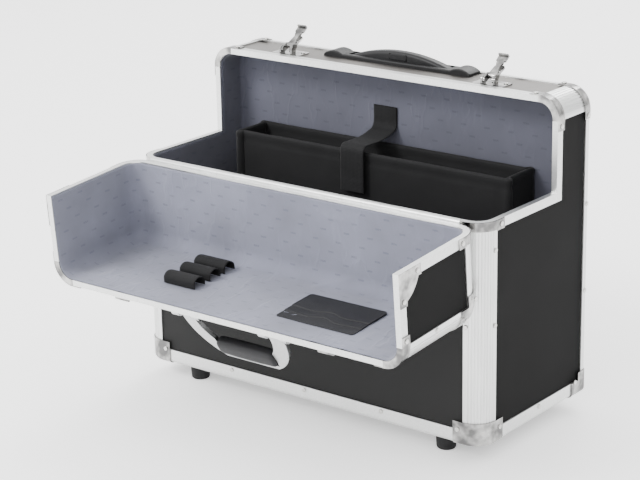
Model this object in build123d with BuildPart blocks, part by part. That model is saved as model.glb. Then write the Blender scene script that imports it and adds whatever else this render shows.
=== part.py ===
from build123d import *
import os
from math import cos, radians, sin

# An aluminium pilot case that stands open: body, hinged lid, carry handle, two draw latches,
# telescopic trolley handle, wheels and feet, and the soft fittings inside.
# Every piece is drawn on the shut case, with the front face at y = 0, the underside at z = 0 and
# x = 0 in the middle. Lid pieces then swing open about the hinge, and everything moves together
# so that the floor is z = 0 and the open case is centred on the origin. Sizes are in millimetres.

# ---- driving dimensions ----
width = 475.0
depth = 208.0
body_height = 350.0
rim_height = 247.0        # underside up to the front rim that carries the hinge
step_depth = 140.0        # front face back to the upright edge that the lid closes against
foot_height = 20.0
board = 4.0               # thickness of the laminated panels
metal = 1.5               # wall of the aluminium profiles
proud = 1.2               # how far the cast corners stand out
corner_radius = 24.0
corner_leg = 25.0
edge_round = 5.0
bottom_leg = 16.7
rear_leg = 10.0
rim_leg = 10.0
rim_width = 6.7
slot_start = 20.0         # where the panel slot of the corner extrusion begins
lid_gap = 0.4
hinge_out = 4.5
knuckle_radius = 3.0
hinge_pin_radius = 1.5
knuckle_count = 17
lid_swing = 184.5

trolley_x = 50.0
trolley_y = 189.0
bezel_half = 101.0
recess_half = 69.5        # half the opening that the grip sinks into
grip_half = 68.5

# ---- places worked out from them ----
half = width / 2
inside = metal + board
panel_edge = slot_start + 0.4
lid_low = rim_height + lid_gap
lid_rear = step_depth - lid_gap
hinge_height = rim_height + lid_gap / 2
false_wall = 180.8        # front face of the space for the trolley tubes and the wheels
swing = radians(lid_swing)
wheel_radius = 19.0
wheel_x = 177.5
wheel_y = depth - 5.0
wheel_z = wheel_radius - foot_height
well_half = 13.0
well_front = wheel_y - wheel_radius - 2.2
well_top = 21.0
rearmost = wheel_y + wheel_radius
lining_face = 7.0         # outer face of the lining, clear of the corner extrusions
lining = 1.0

X, Y, Z = (1, 0, 0), (0, 1, 0), (0, 0, 1)
LEFT, FRONT, DOWN = (-1, 0, 0), (0, -1, 0), (0, 0, -1)
SIDES = ((-1, "left"), (1, "right"))


def turned(y, z):
    """Where a point of the shut lid comes to when the lid is open."""
    dy = y + hinge_out
    dz = z - hinge_height
    return (dy * cos(swing) - dz * sin(swing) - hinge_out, dy * sin(swing) + dz * cos(swing) + hinge_height)


foremost = turned(lid_rear, lid_low)[0]
in_case = Location((0, -(foremost + rearmost) / 2, foot_height))
in_lid = (
    in_case
    * Location((0, -hinge_out, hinge_height), (lid_swing, 0, 0))
    * Location((0, hinge_out, -hinge_height))
)


def finish(piece, label, place=in_case):
    """Move a finished piece to its place in the open case, name it and write its STEP file."""
    piece.part.move(place)
    piece.part.label = label
    export_step(piece.part, f"parts/{label}.step")


def slab(low, high, mode=Mode.ADD):
    """Put a box between two opposite corners into the part that is being built."""
    size = [abs(b - a) for a, b in zip(low, high)]
    start = [min(a, b) for a, b in zip(low, high)]
    with Locations(tuple(start)):
        Box(*size, align=(Align.MIN, Align.MIN, Align.MIN), mode=mode)


def cut_wheel_wells():
    """Cut the two wheel wells out of the part that is being built."""
    for sign in (-1, 1):
        centre = sign * wheel_x
        slab((centre - well_half, well_front, -1), (centre + well_half, depth + 1, well_top), Mode.SUBTRACT)


def laid(section, corner, leg_a, leg_b):
    """Lay a section with its outside corner at a point and its two legs along leg_a and leg_b."""
    normal = Vector(*leg_a).cross(Vector(*leg_b))
    return Plane(origin=corner, x_dir=leg_a, z_dir=normal) * section


def cast_corner(upright, others, reach, height, leg):
    """Shell of a cast corner cap, its outside corner at the origin, its arms along +X, +Y, +Z."""
    solids = []
    for grow in (proud, 0.0):
        extra = 0.0 if grow else 20.0
        with BuildPart(mode=Mode.PRIVATE) as block:
            slab((-grow, -grow, -grow), (reach + extra, reach + extra, height + extra))
            near = (-grow, -grow, height / 2)
            first = block.edges().filter_by(Axis.Z).sort_by_distance(near)[:1]
            if upright == others:
                first += block.edges().filter_by(Axis.X).sort_by_distance((reach / 2, -grow, -grow))[:1]
                first += block.edges().filter_by(Axis.Y).sort_by_distance((-grow, reach / 2, -grow))[:1]
            fillet(first, radius=upright + grow)
            if upright != others:
                rim = block.faces().sort_by(Axis.Z)[0].edges()
                limit = reach + extra - 1
                fillet([e for e in rim if max(e.center().X, e.center().Y) < limit], radius=others + grow)
        solids.append(block.part)
    with BuildPart(mode=Mode.PRIVATE) as cap:
        add(solids[0])
        add(solids[1], mode=Mode.SUBTRACT)
        slab((leg, leg, -5), (reach + 1, reach + 1, 5), mode=Mode.SUBTRACT)
        if upright == others:
            slab((-5, leg, leg), (5, reach + 1, height + 1), mode=Mode.SUBTRACT)
            slab((leg, -5, leg), (reach + 1, 5, height + 1), mode=Mode.SUBTRACT)
    return cap.part


# ---- sections of the aluminium profiles ----
with BuildSketch() as corner_sketch:
    inner_radius = corner_radius - metal - board - 1.4
    with BuildLine():
        Line((corner_leg, 0), (corner_radius, 0))
        RadiusArc((corner_radius, 0), (0, corner_radius), corner_radius)
        Line((0, corner_radius), (0, corner_leg))
        Line((0, corner_leg), (corner_radius - inner_radius, corner_leg))
        Line((corner_radius - inner_radius, corner_leg), (corner_radius - inner_radius, corner_radius))
        RadiusArc(
            (corner_radius - inner_radius, corner_radius),
            (corner_radius, corner_radius - inner_radius),
            -inner_radius,
        )
        Line((corner_radius, corner_radius - inner_radius), (corner_leg, corner_radius - inner_radius))
        Line((corner_leg, corner_radius - inner_radius), (corner_leg, 0))
    make_face()
    with Locations((slot_start, metal)):
        Rectangle(corner_leg, board, align=(Align.MIN, Align.MIN), mode=Mode.SUBTRACT)
    with Locations((metal, slot_start)):
        Rectangle(board, corner_leg, align=(Align.MIN, Align.MIN), mode=Mode.SUBTRACT)
    with Locations((corner_radius, corner_radius)):
        with PolarLocations(corner_radius, 9, start_angle=193, angular_range=64, endpoint=True):
            Circle(0.55, mode=Mode.SUBTRACT)
        with PolarLocations(
            (corner_radius + inner_radius) / 2, 4, start_angle=200, angular_range=50, endpoint=True
        ):
            Circle(2.0, mode=Mode.SUBTRACT)
corner_section = corner_sketch.sketch


def angle_section(leg_a, leg_b):
    """Section of a rounded aluminium angle with its outside corner at the origin."""
    with BuildSketch(mode=Mode.PRIVATE) as angle:
        Rectangle(leg_a, leg_b, align=(Align.MIN, Align.MIN))
        fillet(angle.vertices().group_by(Axis.X)[0].group_by(Axis.Y)[0], radius=edge_round)
        with BuildSketch(mode=Mode.PRIVATE) as hollow:
            with Locations((metal, metal)):
                Rectangle(leg_a, leg_b, align=(Align.MIN, Align.MIN))
            fillet(hollow.vertices().group_by(Axis.X)[0].group_by(Axis.Y)[0], radius=edge_round - metal)
        add(hollow.sketch, mode=Mode.SUBTRACT)
    return angle.sketch


with BuildSketch() as rim_sketch:
    Rectangle(rim_leg, rim_width, align=(Align.MIN, Align.MIN))
    with Locations((metal, metal)):
        Rectangle(rim_leg, board, align=(Align.MIN, Align.MIN), mode=Mode.SUBTRACT)
    with Locations((rim_leg, rim_width)):
        Rectangle(3, rim_width - inside, align=(Align.MAX, Align.MAX), mode=Mode.SUBTRACT)
    with Locations((rim_leg * 0.45, 0)):
        Rectangle(0.8, 0.8, mode=Mode.SUBTRACT)
rim_section = rim_sketch.sketch

os.makedirs("parts", exist_ok=True)

# ---- body panels ----
with BuildPart() as bottom_panel:
    slab((metal - half, metal, metal), (half - metal, depth - metal, inside))
    fillet(bottom_panel.edges().filter_by(Axis.Z).group_by(Axis.Y)[0], radius=corner_radius - metal)
    fillet(bottom_panel.edges().filter_by(Axis.Z).group_by(Axis.Y)[-1], radius=edge_round - metal)
    fillet(bottom_panel.faces().sort_by(Axis.Z)[0].edges(), radius=edge_round - metal)
    cut_wheel_wells()
finish(bottom_panel, "bottom_panel")

with BuildPart() as front_panel:
    slab((panel_edge - half, metal, inside), (half - panel_edge, inside, rim_height - metal))
finish(front_panel, "front_panel")

with BuildPart() as rear_panel:
    slab((metal - half, depth - inside, inside), (half - metal, depth - metal, body_height - metal))
    fillet(rear_panel.edges().filter_by(Axis.Y).group_by(Axis.Z)[-1], radius=corner_radius - metal)
    outline = rear_panel.faces().sort_by(Axis.Y)[-1].edges()
    fillet([edge for edge in outline if edge.center().Z > inside + 1], radius=edge_round - metal)
    cut_wheel_wells()
finish(rear_panel, "rear_panel")

for side, hand in SIDES:
    with BuildPart() as side_panel:
        with BuildSketch(Plane.YZ.offset(side * (half - inside) if side > 0 else metal - half)):
            with BuildLine():
                Polyline(
                    (panel_edge, inside), (depth - inside, inside),
                    (depth - inside, body_height - panel_edge),
                    (step_depth + metal, body_height - panel_edge),
                    (step_depth + metal, rim_height - metal),
                    (panel_edge, rim_height - metal), close=True,
                )
            make_face()
        extrude(amount=board)
    finish(side_panel, f"side_panel_{hand}")

with BuildPart() as top_plate:
    top_low = body_height - inside
    slab(
        (panel_edge - half, step_depth + metal, top_low),
        (half - panel_edge, depth - inside, top_low + board),
    )
    slab(
        (-recess_half, trolley_y - 7.6, top_low - 1),
        (recess_half, trolley_y + 7.6, body_height),
        Mode.SUBTRACT,
    )
finish(top_plate, "top_plate")

# ---- aluminium edges of the body ----
for side, hand in SIDES:
    with BuildPart() as front_corner_profile:
        legs = (Y, LEFT) if side > 0 else (X, Y)
        extrude(laid(corner_section, (side * half, 0, inside), *legs), amount=rim_height - metal - inside)
    finish(front_corner_profile, f"front_corner_profile_{hand}")

with BuildPart() as rear_edge_profiles:
    for side, hand in SIDES:
        legs = (LEFT, FRONT) if side > 0 else (FRONT, X)
        upright = laid(angle_section(rear_leg, rear_leg), (side * half, depth, inside), *legs)
        extrude(upright, amount=body_height - corner_leg - inside)
    across = laid(angle_section(rear_leg, rear_leg), (corner_leg - half, depth, body_height), FRONT, DOWN)
    extrude(across, amount=width - 2 * corner_leg)
finish(rear_edge_profiles, "rear_edge_profiles")

with BuildPart() as bottom_edge_profiles:
    bottom_angle = angle_section(bottom_leg, bottom_leg)
    extrude(laid(bottom_angle, (corner_leg - half, 0, 0), Y, Z), amount=width - 2 * corner_leg)
    extrude(laid(bottom_angle, (corner_leg - half, depth, 0), Z, FRONT), amount=width - 2 * corner_leg)
    extrude(laid(bottom_angle, (-half, corner_leg, 0), Z, X), amount=depth - 2 * corner_leg)
    extrude(laid(bottom_angle, (half, corner_leg, 0), LEFT, Z), amount=depth - 2 * corner_leg)
    cut_wheel_wells()
finish(bottom_edge_profiles, "bottom_edge_profiles")

with BuildPart() as top_corner_profiles:
    length = depth - inside - step_depth - metal
    extrude(laid(corner_section, (half, step_depth + metal, body_height), DOWN, LEFT), amount=length)
    extrude(laid(corner_section, (-half, step_depth + metal, body_height), X, DOWN), amount=length)
finish(top_corner_profiles, "top_corner_profiles")

# ---- rims that the lid closes against ----
def curved_strip(out, into, arm):
    """Strip round a corner, from out beyond the envelope to into inside it, with straight arms."""
    far = corner_radius + arm
    with BuildSketch(mode=Mode.PRIVATE) as strip:
        with BuildLine():
            Line((far, -out), (corner_radius, -out))
            RadiusArc((corner_radius, -out), (-out, corner_radius), corner_radius + out)
            Polyline((-out, corner_radius), (-out, far), (into, far), (into, corner_radius))
            RadiusArc((into, corner_radius), (corner_radius, into), into - corner_radius)
            Polyline((corner_radius, into), (far, into), (far, -out))
        make_face()
    return strip.sketch


def rear_cap():
    """Curved cap of a rear top corner, in a frame whose legs are +X and +Y and whose rear is +Z."""
    blocks = []
    for out, into, low, high, arm in ((proud, rear_leg, 0, 14 + proud, 10), (0, rear_leg + 20, -5, 14, 30)):
        with BuildPart(mode=Mode.PRIVATE) as block:
            extrude(Plane.XY.offset(low) * curved_strip(out, min(into, 22), arm), amount=high - low)
            end = block.faces().sort_by(Axis.Z)[-1].edges()
            outer = [
                e for e in end if min(e.center().X, e.center().Y) < 0.5 or e.center().X + e.center().Y < 20
            ]
            fillet(outer, radius=edge_round + out)
        blocks.append(block.part)
    return blocks[0] - blocks[1]


with BuildPart() as front_rim:
    extrude(laid(rim_section, (corner_leg - half, 0, rim_height), DOWN, Y), amount=width - 2 * corner_leg)
    with BuildSketch(Plane.XY.offset(rim_height - metal)) as cap:
        Rectangle(width, corner_leg, align=(Align.CENTER, Align.MIN))
        fillet(cap.vertices().group_by(Axis.Y)[0], radius=corner_radius)
        with BuildSketch(mode=Mode.PRIVATE) as hollow:
            with Locations((0, rim_width)):
                Rectangle(width - 2 * rim_width, corner_leg, align=(Align.CENTER, Align.MIN))
            fillet(hollow.vertices().group_by(Axis.Y)[0], radius=corner_radius - rim_width)
        add(hollow.sketch, mode=Mode.SUBTRACT)
    extrude(amount=metal)
finish(front_rim, "front_rim")

with BuildPart() as step_rims:
    for side, hand in SIDES:
        edge = side * half
        into = side * -1
        with BuildSketch(Plane.YZ.offset(min(edge, edge + into * rim_width))):
            with BuildLine():
                Polyline(
                    (corner_leg, rim_height), (step_depth, rim_height),
                    (step_depth, body_height - corner_leg),
                    (step_depth + rim_leg, body_height - corner_leg),
                    (step_depth + rim_leg, rim_height - rim_leg),
                    (corner_leg, rim_height - rim_leg), close=True,
                )
            make_face()
        extrude(amount=rim_width)
        slab(
            (edge + into * metal, corner_leg - 1, rim_height - rim_leg - 1),
            (edge + into * inside, step_depth + metal, rim_height - metal), Mode.SUBTRACT,
        )
        slab(
            (edge + into * metal, step_depth + metal, rim_height - rim_leg - 1),
            (edge + into * inside, step_depth + rim_leg + 1, body_height), Mode.SUBTRACT,
        )
    extrude(
        laid(rim_section, (corner_leg - half, step_depth, body_height), Y, DOWN),
        amount=-(width - 2 * corner_leg),
    )
finish(step_rims, "step_rims")

side_arm = 13.0           # how far a rim corner's arm runs along the side, past the round
with BuildPart() as rim_corners:
    for corner, legs in (
        ((half, step_depth, body_height), (DOWN, LEFT)), ((-half, step_depth, body_height), (X, DOWN))
    ):
        extrude(
            laid(curved_strip(proud, rim_width, corner_leg - corner_radius), corner, *legs), amount=metal
        )
        extrude(laid(curved_strip(proud, 0, 12), corner, *legs), amount=rim_leg + 2)
    for corner, legs in (((half, 0, rim_height), (Y, LEFT)), ((-half, 0, rim_height), (X, Y))):
        extrude(laid(curved_strip(proud, 0, corner_leg - corner_radius), corner, *legs), amount=-rim_leg)
    for side, hand in SIDES:
        slab(
            (side * half, corner_radius, rim_height - rim_leg - 1),
            (side * (half + proud), corner_radius + side_arm, rim_height),
        )
finish(rim_corners, "rim_corners")

# ---- cast corners of the body ----
with BuildPart() as bottom_front_corners:
    front_cap = cast_corner(corner_radius, edge_round, 37, 26, bottom_leg)
    add(Plane(origin=(-half, 0, 0), x_dir=X, z_dir=Z) * front_cap)
    add(Plane(origin=(half, 0, 0), x_dir=Y, z_dir=Z) * front_cap)
finish(bottom_front_corners, "bottom_front_corners")

with BuildPart() as bottom_rear_corners:
    low_cap = cast_corner(edge_round, edge_round, 30, 26, bottom_leg)
    add(Plane(origin=(-half, depth, 0), x_dir=FRONT, z_dir=Z) * low_cap)
    add(Plane(origin=(half, depth, 0), x_dir=LEFT, z_dir=Z) * low_cap)
finish(bottom_rear_corners, "bottom_rear_corners")

with BuildPart() as top_rear_corners:
    high_cap = rear_cap()
    add(Plane(origin=(-half, depth - 14, body_height), x_dir=X, z_dir=Y) * high_cap)
    add(Plane(origin=(half, depth - 14, body_height), x_dir=DOWN, z_dir=Y) * high_cap)
finish(top_rear_corners, "top_rear_corners")

# ---- piano hinge ----
hinge_half = half - corner_leg
knuckle = 2 * hinge_half / knuckle_count
leaf = 1.3
leaf_height = 12.0


def hinge_leaf(first, low, high, lug_low, lug_high, place, label):
    """One leaf of the hinge; its knuckles are every second one, starting at the first."""
    with BuildPart() as hinge:
        slab((-hinge_half, -leaf, low), (hinge_half, 0, high))
        for index in range(first, knuckle_count, 2):
            start = -hinge_half + index * knuckle + 0.15
            end = start + knuckle - 0.3
            slab((start, -hinge_out, lug_low), (end, -leaf, lug_high))
            with BuildSketch(Plane.YZ.offset(start)):
                with Locations((-hinge_out, hinge_height)):
                    Circle(knuckle_radius)
            extrude(amount=end - start)
        with BuildSketch(Plane.YZ.offset(-half)):
            with Locations((-hinge_out, hinge_height)):
                Circle(hinge_pin_radius + 0.05)
        extrude(amount=width, mode=Mode.SUBTRACT)
    finish(hinge, label, place)


hinge_leaf(
    0, rim_height - leaf_height, rim_height, rim_height - metal, rim_height, in_case, "hinge_body_leaf"
)
hinge_leaf(1, lid_low, lid_low + leaf_height, lid_low, lid_low + metal, in_lid, "hinge_lid_leaf")

with BuildPart() as hinge_pin:
    with BuildSketch(Plane.YZ.offset(-hinge_half - 1)):
        with Locations((-hinge_out, hinge_height)):
            Circle(hinge_pin_radius)
    extrude(amount=2 * hinge_half + 2)
finish(hinge_pin, "hinge_pin")

# ---- feet and wheels ----
foot_y = 24.0
foot_radius = 12.0
with BuildPart() as rubber_feet:
    with BuildSketch(Plane.XY):
        with Locations((-wheel_x + 2, foot_y), (wheel_x - 2, foot_y)):
            Circle(foot_radius)
    extrude(amount=-foot_height, taper=4)
    fillet(rubber_feet.faces().group_by(Axis.Z)[0].edges(), radius=2.5)
finish(rubber_feet, "rubber_feet")

axle_radius = 3.0
with BuildPart() as wheel_housings:
    for side, hand in SIDES:
        centre = side * wheel_x
        slab((centre - well_half, well_front, 0), (centre + well_half, depth, well_top))
        with BuildSketch(Plane.YZ.offset(centre - well_half)):
            with Locations((wheel_y, wheel_z)):
                Circle(9)
            with Locations((wheel_y, 0)):
                Rectangle(18, 10, align=(Align.CENTER, Align.MIN))
        extrude(amount=2 * well_half)
        slab(
            (centre - 11.2, well_front + 1.6, -12),
            (centre + 11.2, depth + 9, well_top - 1.8),
            Mode.SUBTRACT,
        )
        slab((centre - well_half - 1, depth, -12), (centre + well_half + 1, depth + 9, 30), Mode.SUBTRACT)
        with BuildSketch(Plane.YZ.offset(centre - well_half)):
            with Locations((wheel_y, wheel_z)):
                Circle(axle_radius)
        extrude(amount=2 * well_half, mode=Mode.SUBTRACT)
finish(wheel_housings, "wheel_housings")

with BuildPart() as wheel_axles:
    for side, hand in SIDES:
        with BuildSketch(Plane.YZ.offset(side * wheel_x - well_half)):
            with Locations((wheel_y, wheel_z)):
                Circle(axle_radius)
        extrude(amount=2 * well_half)
finish(wheel_axles, "wheel_axles")

for side, hand in SIDES:
    with BuildPart() as wheel:
        with BuildSketch(Plane.XY.offset(wheel_z)) as tread:
            with Locations((side * wheel_x, wheel_y)):
                Rectangle(20, wheel_radius, align=(Align.CENTER, Align.MIN))
            fillet(tread.vertices().group_by(Axis.Y)[-1], radius=5)
        revolve(axis=Axis((0, wheel_y, wheel_z), X))
        for end in (-1, 1):
            with BuildSketch(Plane.YZ.offset(side * wheel_x + end * 10)):
                with Locations((wheel_y, wheel_z)):
                    Circle(12.5)
                    Circle(6, mode=Mode.SUBTRACT)
            extrude(amount=-end * 2.5, mode=Mode.SUBTRACT)
        with BuildSketch(Plane.YZ.offset(side * wheel_x - 12)):
            with Locations((wheel_y, wheel_z)):
                Circle(axle_radius + 0.05)
        extrude(amount=24, mode=Mode.SUBTRACT)
    finish(wheel, f"wheel_{hand}")

# ---- inside of the body ----
lining_rear = false_wall - 2.0


def lined_box(skin):
    """The space inside the body, drawn in by the skin on every side that the lining covers."""
    face = lining_face + skin
    low = inside + skin
    reach = 0 if skin == 0 else 10
    with BuildPart(mode=Mode.PRIVATE) as space:
        slab((face - half, face, low), (half - face, lining_rear - skin, rim_height - 1 + reach))
        fillet(space.edges().filter_by(Axis.Z).group_by(Axis.Y)[0], radius=corner_radius - face)
        with BuildPart(mode=Mode.PRIVATE) as upper:
            slab(
                (face - half, step_depth + metal + 0.2 - reach, rim_height - 20),
                (half - face, lining_rear - skin, body_height - face),
            )
            fillet(upper.edges().filter_by(Axis.Y).group_by(Axis.Z)[-1], radius=corner_radius - face)
        add(upper.part)
    return space.part


with BuildPart() as body_lining:
    add(lined_box(0))
    add(lined_box(lining), mode=Mode.SUBTRACT)
finish(body_lining, "body_lining")

with BuildPart() as rear_divider:
    slab(
        (inside + 0.2 - half, lining_rear, inside),
        (half - inside - 0.2, false_wall, body_height - corner_leg - 0.2),
    )
finish(rear_divider, "rear_divider")

floor_low = inside + lining + 0.1
floor_high = floor_low + 3.0
board_face = lining_face + lining + 0.2
with BuildPart() as floor_board:
    slab(
        (board_face - half, board_face, floor_low),
        (half - board_face, lining_rear - lining - 0.2, floor_high),
    )
    fillet(floor_board.edges().filter_by(Axis.Z).group_by(Axis.Y)[0], radius=corner_radius - board_face)
finish(floor_board, "floor_board")

pocket_half = 193.0
pocket_front = 113.0
pocket_rear = lining_rear - lining - 0.2
pocket_top = 260.0
pocket_wall = 6.0
with BuildPart() as laptop_pocket:
    slab((-pocket_half, pocket_front, floor_high), (pocket_half, pocket_rear, pocket_top))
    fillet(laptop_pocket.edges().filter_by(Axis.Z).group_by(Axis.Y)[0], radius=8)
    slab(
        (pocket_wall - pocket_half, pocket_front + pocket_wall, floor_high + pocket_wall),
        (pocket_half - pocket_wall, pocket_rear - pocket_wall, pocket_top + 1), Mode.SUBTRACT,
    )
finish(laptop_pocket, "laptop_pocket")

strap_x = -14.0
strap_width = 33.0
strap_thickness = 1.6
with BuildPart() as laptop_strap:
    with BuildSketch(Plane.YZ.offset(strap_x - strap_width / 2)):
        with BuildLine() as route:
            FilletPolyline(
                (pocket_rear - 1, 300), (pocket_rear - 1, 274), (150, 267), (pocket_front - 1.2, 268),
                (pocket_front - 1.2, 214), radius=6,
            )
        trace(line_width=strap_thickness)
    extrude(amount=strap_width)
finish(laptop_strap, "laptop_strap")

# ---- telescopic trolley handle ----
plate_top = body_height - metal


def square_tube(size_x, size_y, wall, low, high):
    """Add two upright tubes, one for each leg of the trolley handle."""
    for sign in (-1, 1):
        centre = sign * trolley_x
        slab(
            (centre - size_x / 2, trolley_y - size_y / 2, low),
            (centre + size_x / 2, trolley_y + size_y / 2, high),
        )
        slab(
            (centre - size_x / 2 + wall, trolley_y - size_y / 2 + wall, low - 1),
            (centre + size_x / 2 - wall, trolley_y + size_y / 2 - wall, high + 1), Mode.SUBTRACT,
        )


with BuildPart() as trolley_channels:
    square_tube(22, 15, 1.2, 24, 343)
finish(trolley_channels, "trolley_channels")

with BuildPart() as trolley_mid_tubes:
    square_tube(19, 12, 1.1, 26, 342)
finish(trolley_mid_tubes, "trolley_mid_tubes")

with BuildPart() as trolley_inner_tubes:
    square_tube(16.2, 9.2, 1.1, 28, 343.8)
finish(trolley_inner_tubes, "trolley_inner_tubes")

with BuildPart() as trolley_bezel:
    with BuildSketch(Plane.XZ.offset(-(trolley_y + 8.8))):
        with BuildLine():
            hump = 26.0
            Polyline((-bezel_half, plate_top), (bezel_half, plate_top), (bezel_half, plate_top + 3))
            ThreePointArc(
                (bezel_half, plate_top + 3), (bezel_half - hump / 2, plate_top + 7.5), (
                    bezel_half - hump, plate_top + 4.5
                )
            )
            Line((bezel_half - hump, plate_top + 4.5), (hump - bezel_half, plate_top + 4.5))
            ThreePointArc(
                (hump - bezel_half, plate_top + 4.5),
                (hump / 2 - bezel_half, plate_top + 7.5),
                (-bezel_half, plate_top + 3)
            )
            Line((-bezel_half, plate_top + 3), (-bezel_half, plate_top))
        make_face()
    extrude(amount=22)
    front_edges = trolley_bezel.faces().sort_by(Axis.Y)[0].edges().filter_by(
        lambda e: e.center().Z > plate_top + 2.9
    )
    fillet(front_edges, radius=1.6)
    slab(
        (-recess_half, trolley_y - 7.6, plate_top - 1),
        (recess_half, trolley_y + 7.6, plate_top + 20),
        Mode.SUBTRACT,
    )
finish(trolley_bezel, "trolley_bezel")

button_half = 12.0
button_low = plate_top + 5.4
button_high = button_low + 6.6
with BuildPart() as trolley_grip:
    with BuildSketch(Plane.XZ.offset(-(trolley_y + 7.0))):
        with BuildLine():
            Polyline(
                (-grip_half, plate_top + 3), (-grip_half, 344), (grip_half, 344), (grip_half, plate_top + 3)
            )
            ThreePointArc((grip_half, plate_top + 3), (0, plate_top + 15), (-grip_half, plate_top + 3))
        make_face()
    extrude(amount=14)
    upper_edges = [e for e in trolley_grip.edges() if e.center().Z > plate_top + 10 and e.length > 100]
    fillet(upper_edges, radius=4)
    slab(
        (-button_half - 0.3, trolley_y - 8, button_low - 0.3),
        (button_half + 0.3, trolley_y - 1, button_high + 0.3),
        Mode.SUBTRACT,
    )
finish(trolley_grip, "trolley_grip")

with BuildPart() as trolley_button:
    slab((-button_half, trolley_y - 7.6, button_low), (button_half, trolley_y - 4, button_high))
    fillet(trolley_button.edges().filter_by(Axis.Y), radius=2.4)
    fillet(trolley_button.faces().sort_by(Axis.Y)[0].edges(), radius=0.6)
finish(trolley_button, "trolley_button")

# ---- draw latches, standing open ----
latch_x = 140.0
latch_pivot = (157.0, plate_top + 6.0)
latch_lift = 26.0         # how far the open lever stands above the flat one
claw_lift = 12.0          # how far the claw stands off the lever when open
claw_offset = 7.0
lever_reach = 25.0
claw_reach = 30.0
ear_height = 9.0


def latch_place(side, angle, point):
    """Place of a latch piece drawn about its own pivot, lying flat and pointing to the rear."""
    return in_case * Location((side * latch_x, point[0], point[1]), (angle, 0, 0))


claw_pivot = (
    latch_pivot[0] + claw_offset * cos(radians(latch_lift)),
    latch_pivot[1] + claw_offset * sin(radians(latch_lift)),
)

with BuildPart() as latch_bases:
    for side, hand in SIDES:
        centre = side * latch_x
        slab((centre - 20, 151.5, plate_top), (centre + 20, 174, plate_top + 1.5))
        fillet(latch_bases.edges().filter_by(Axis.Z).filter_by(lambda e: side * e.center().X > 0), radius=3)
    for side, hand in SIDES:
        for end in (-1, 1):
            ear = side * latch_x + end * 8
            with BuildSketch(Plane.YZ.offset(ear - 1)):
                with Locations((latch_pivot[0], latch_pivot[1])):
                    Circle(4)
                with Locations((latch_pivot[0], plate_top)):
                    Rectangle(8, latch_pivot[1] - plate_top, align=(Align.CENTER, Align.MIN))
                with Locations((latch_pivot[0], latch_pivot[1])):
                    Circle(1.55, mode=Mode.SUBTRACT)
            extrude(amount=2)
finish(latch_bases, "latch_bases")

def cross_pin(radius, start, length, mode=Mode.ADD):
    """Add or cut a pin of some radius along X in the part that is being built."""
    with Locations(Location((start, 0, 0), (0, 90, 0))):
        Cylinder(radius, length, align=(Align.CENTER, Align.CENTER, Align.MIN), mode=mode)


for side, hand in SIDES:
    with BuildPart() as latch_lever:
        with BuildSketch(Plane.YZ.offset(-6.5)):
            with Locations((claw_offset / 2, 0)):
                SlotOverall(claw_offset + 7, 7)
            with Locations((claw_offset, 0)):
                Rectangle(lever_reach - claw_offset, 2, align=(Align.MIN, Align.CENTER))
        extrude(amount=13)
        slab((-4.7, -5, -5), (4.7, 17, 5), Mode.SUBTRACT)
        fillet(latch_lever.edges().filter_by(Axis.Z).group_by(Axis.Y)[-1], radius=3)
        for start in (-8.8, 6.4):
            cross_pin(1.5, start, 2.4)
        with Locations((0, claw_offset, 0)):
            Cylinder(1.5, 9.6, rotation=(0, 90, 0))
    finish(latch_lever, f"latch_lever_{hand}", latch_place(side, latch_lift, latch_pivot))

    with BuildPart() as latch_claw:
        with BuildSketch(Plane.YZ.offset(-4.4)):
            Circle(3)
            Rectangle(claw_reach, 2, align=(Align.MIN, Align.CENTER))
            with Locations((claw_reach, -1)):
                Rectangle(2, 4.2, align=(Align.MAX, Align.MIN))
        extrude(amount=8.8)
        for end in (-1, 1):
            with BuildSketch(Plane.XY.offset(-1)):
                with BuildLine():
                    Polyline((end * 4.4, 7), (end * 2.9, 9), (end * 2.9, 14), (end * 4.4, 18), close=True)
                make_face()
            extrude(amount=2, mode=Mode.SUBTRACT)
            slab((end * 4.4, claw_reach - 9, -1), (end * 6.2, claw_reach, 1))
            slab((end * 4.4, claw_reach - 2, 1), (end * 6.2, claw_reach, 3.2))
        cross_pin(1.55, -5, 10, Mode.SUBTRACT)
    claw_angle = latch_lift + claw_lift
    finish(latch_claw, f"latch_claw_{hand}", latch_place(side, claw_angle, claw_pivot))

# ---- lid panels and edges ----
with BuildPart() as lid_top_panel:
    slab((panel_edge - half, panel_edge, top_low), (half - panel_edge, lid_rear - metal, top_low + board))
finish(lid_top_panel, "lid_top_panel", in_lid)

with BuildPart() as lid_front_panel:
    slab((panel_edge - half, metal, lid_low + metal), (half - panel_edge, inside, body_height - panel_edge))
finish(lid_front_panel, "lid_front_panel", in_lid)

for side, hand in SIDES:
    with BuildPart() as lid_side_panel:
        slab(
            (side * (half - inside), panel_edge, lid_low + metal),
            (side * (half - metal), lid_rear - metal, body_height - panel_edge),
        )
    finish(lid_side_panel, f"lid_side_panel_{hand}", in_lid)

with BuildPart() as lid_front_edge_profile:
    extrude(
        laid(corner_section, (corner_leg - half, 0, body_height), DOWN, Y), amount=width - 2 * corner_leg
    )
finish(lid_front_edge_profile, "lid_front_edge_profile", in_lid)

with BuildPart() as lid_corner_profiles:
    upright_length = body_height - corner_leg - lid_low - metal
    extrude(laid(corner_section, (half, 0, lid_low + metal), Y, LEFT), amount=upright_length)
    extrude(laid(corner_section, (-half, 0, lid_low + metal), X, Y), amount=upright_length)
finish(lid_corner_profiles, "lid_corner_profiles", in_lid)

with BuildPart() as lid_side_profiles:
    side_length = lid_rear - metal - corner_leg
    extrude(laid(corner_section, (half, corner_leg, body_height), DOWN, LEFT), amount=side_length)
    extrude(laid(corner_section, (-half, corner_leg, body_height), X, DOWN), amount=side_length)
finish(lid_side_profiles, "lid_side_profiles", in_lid)

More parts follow.
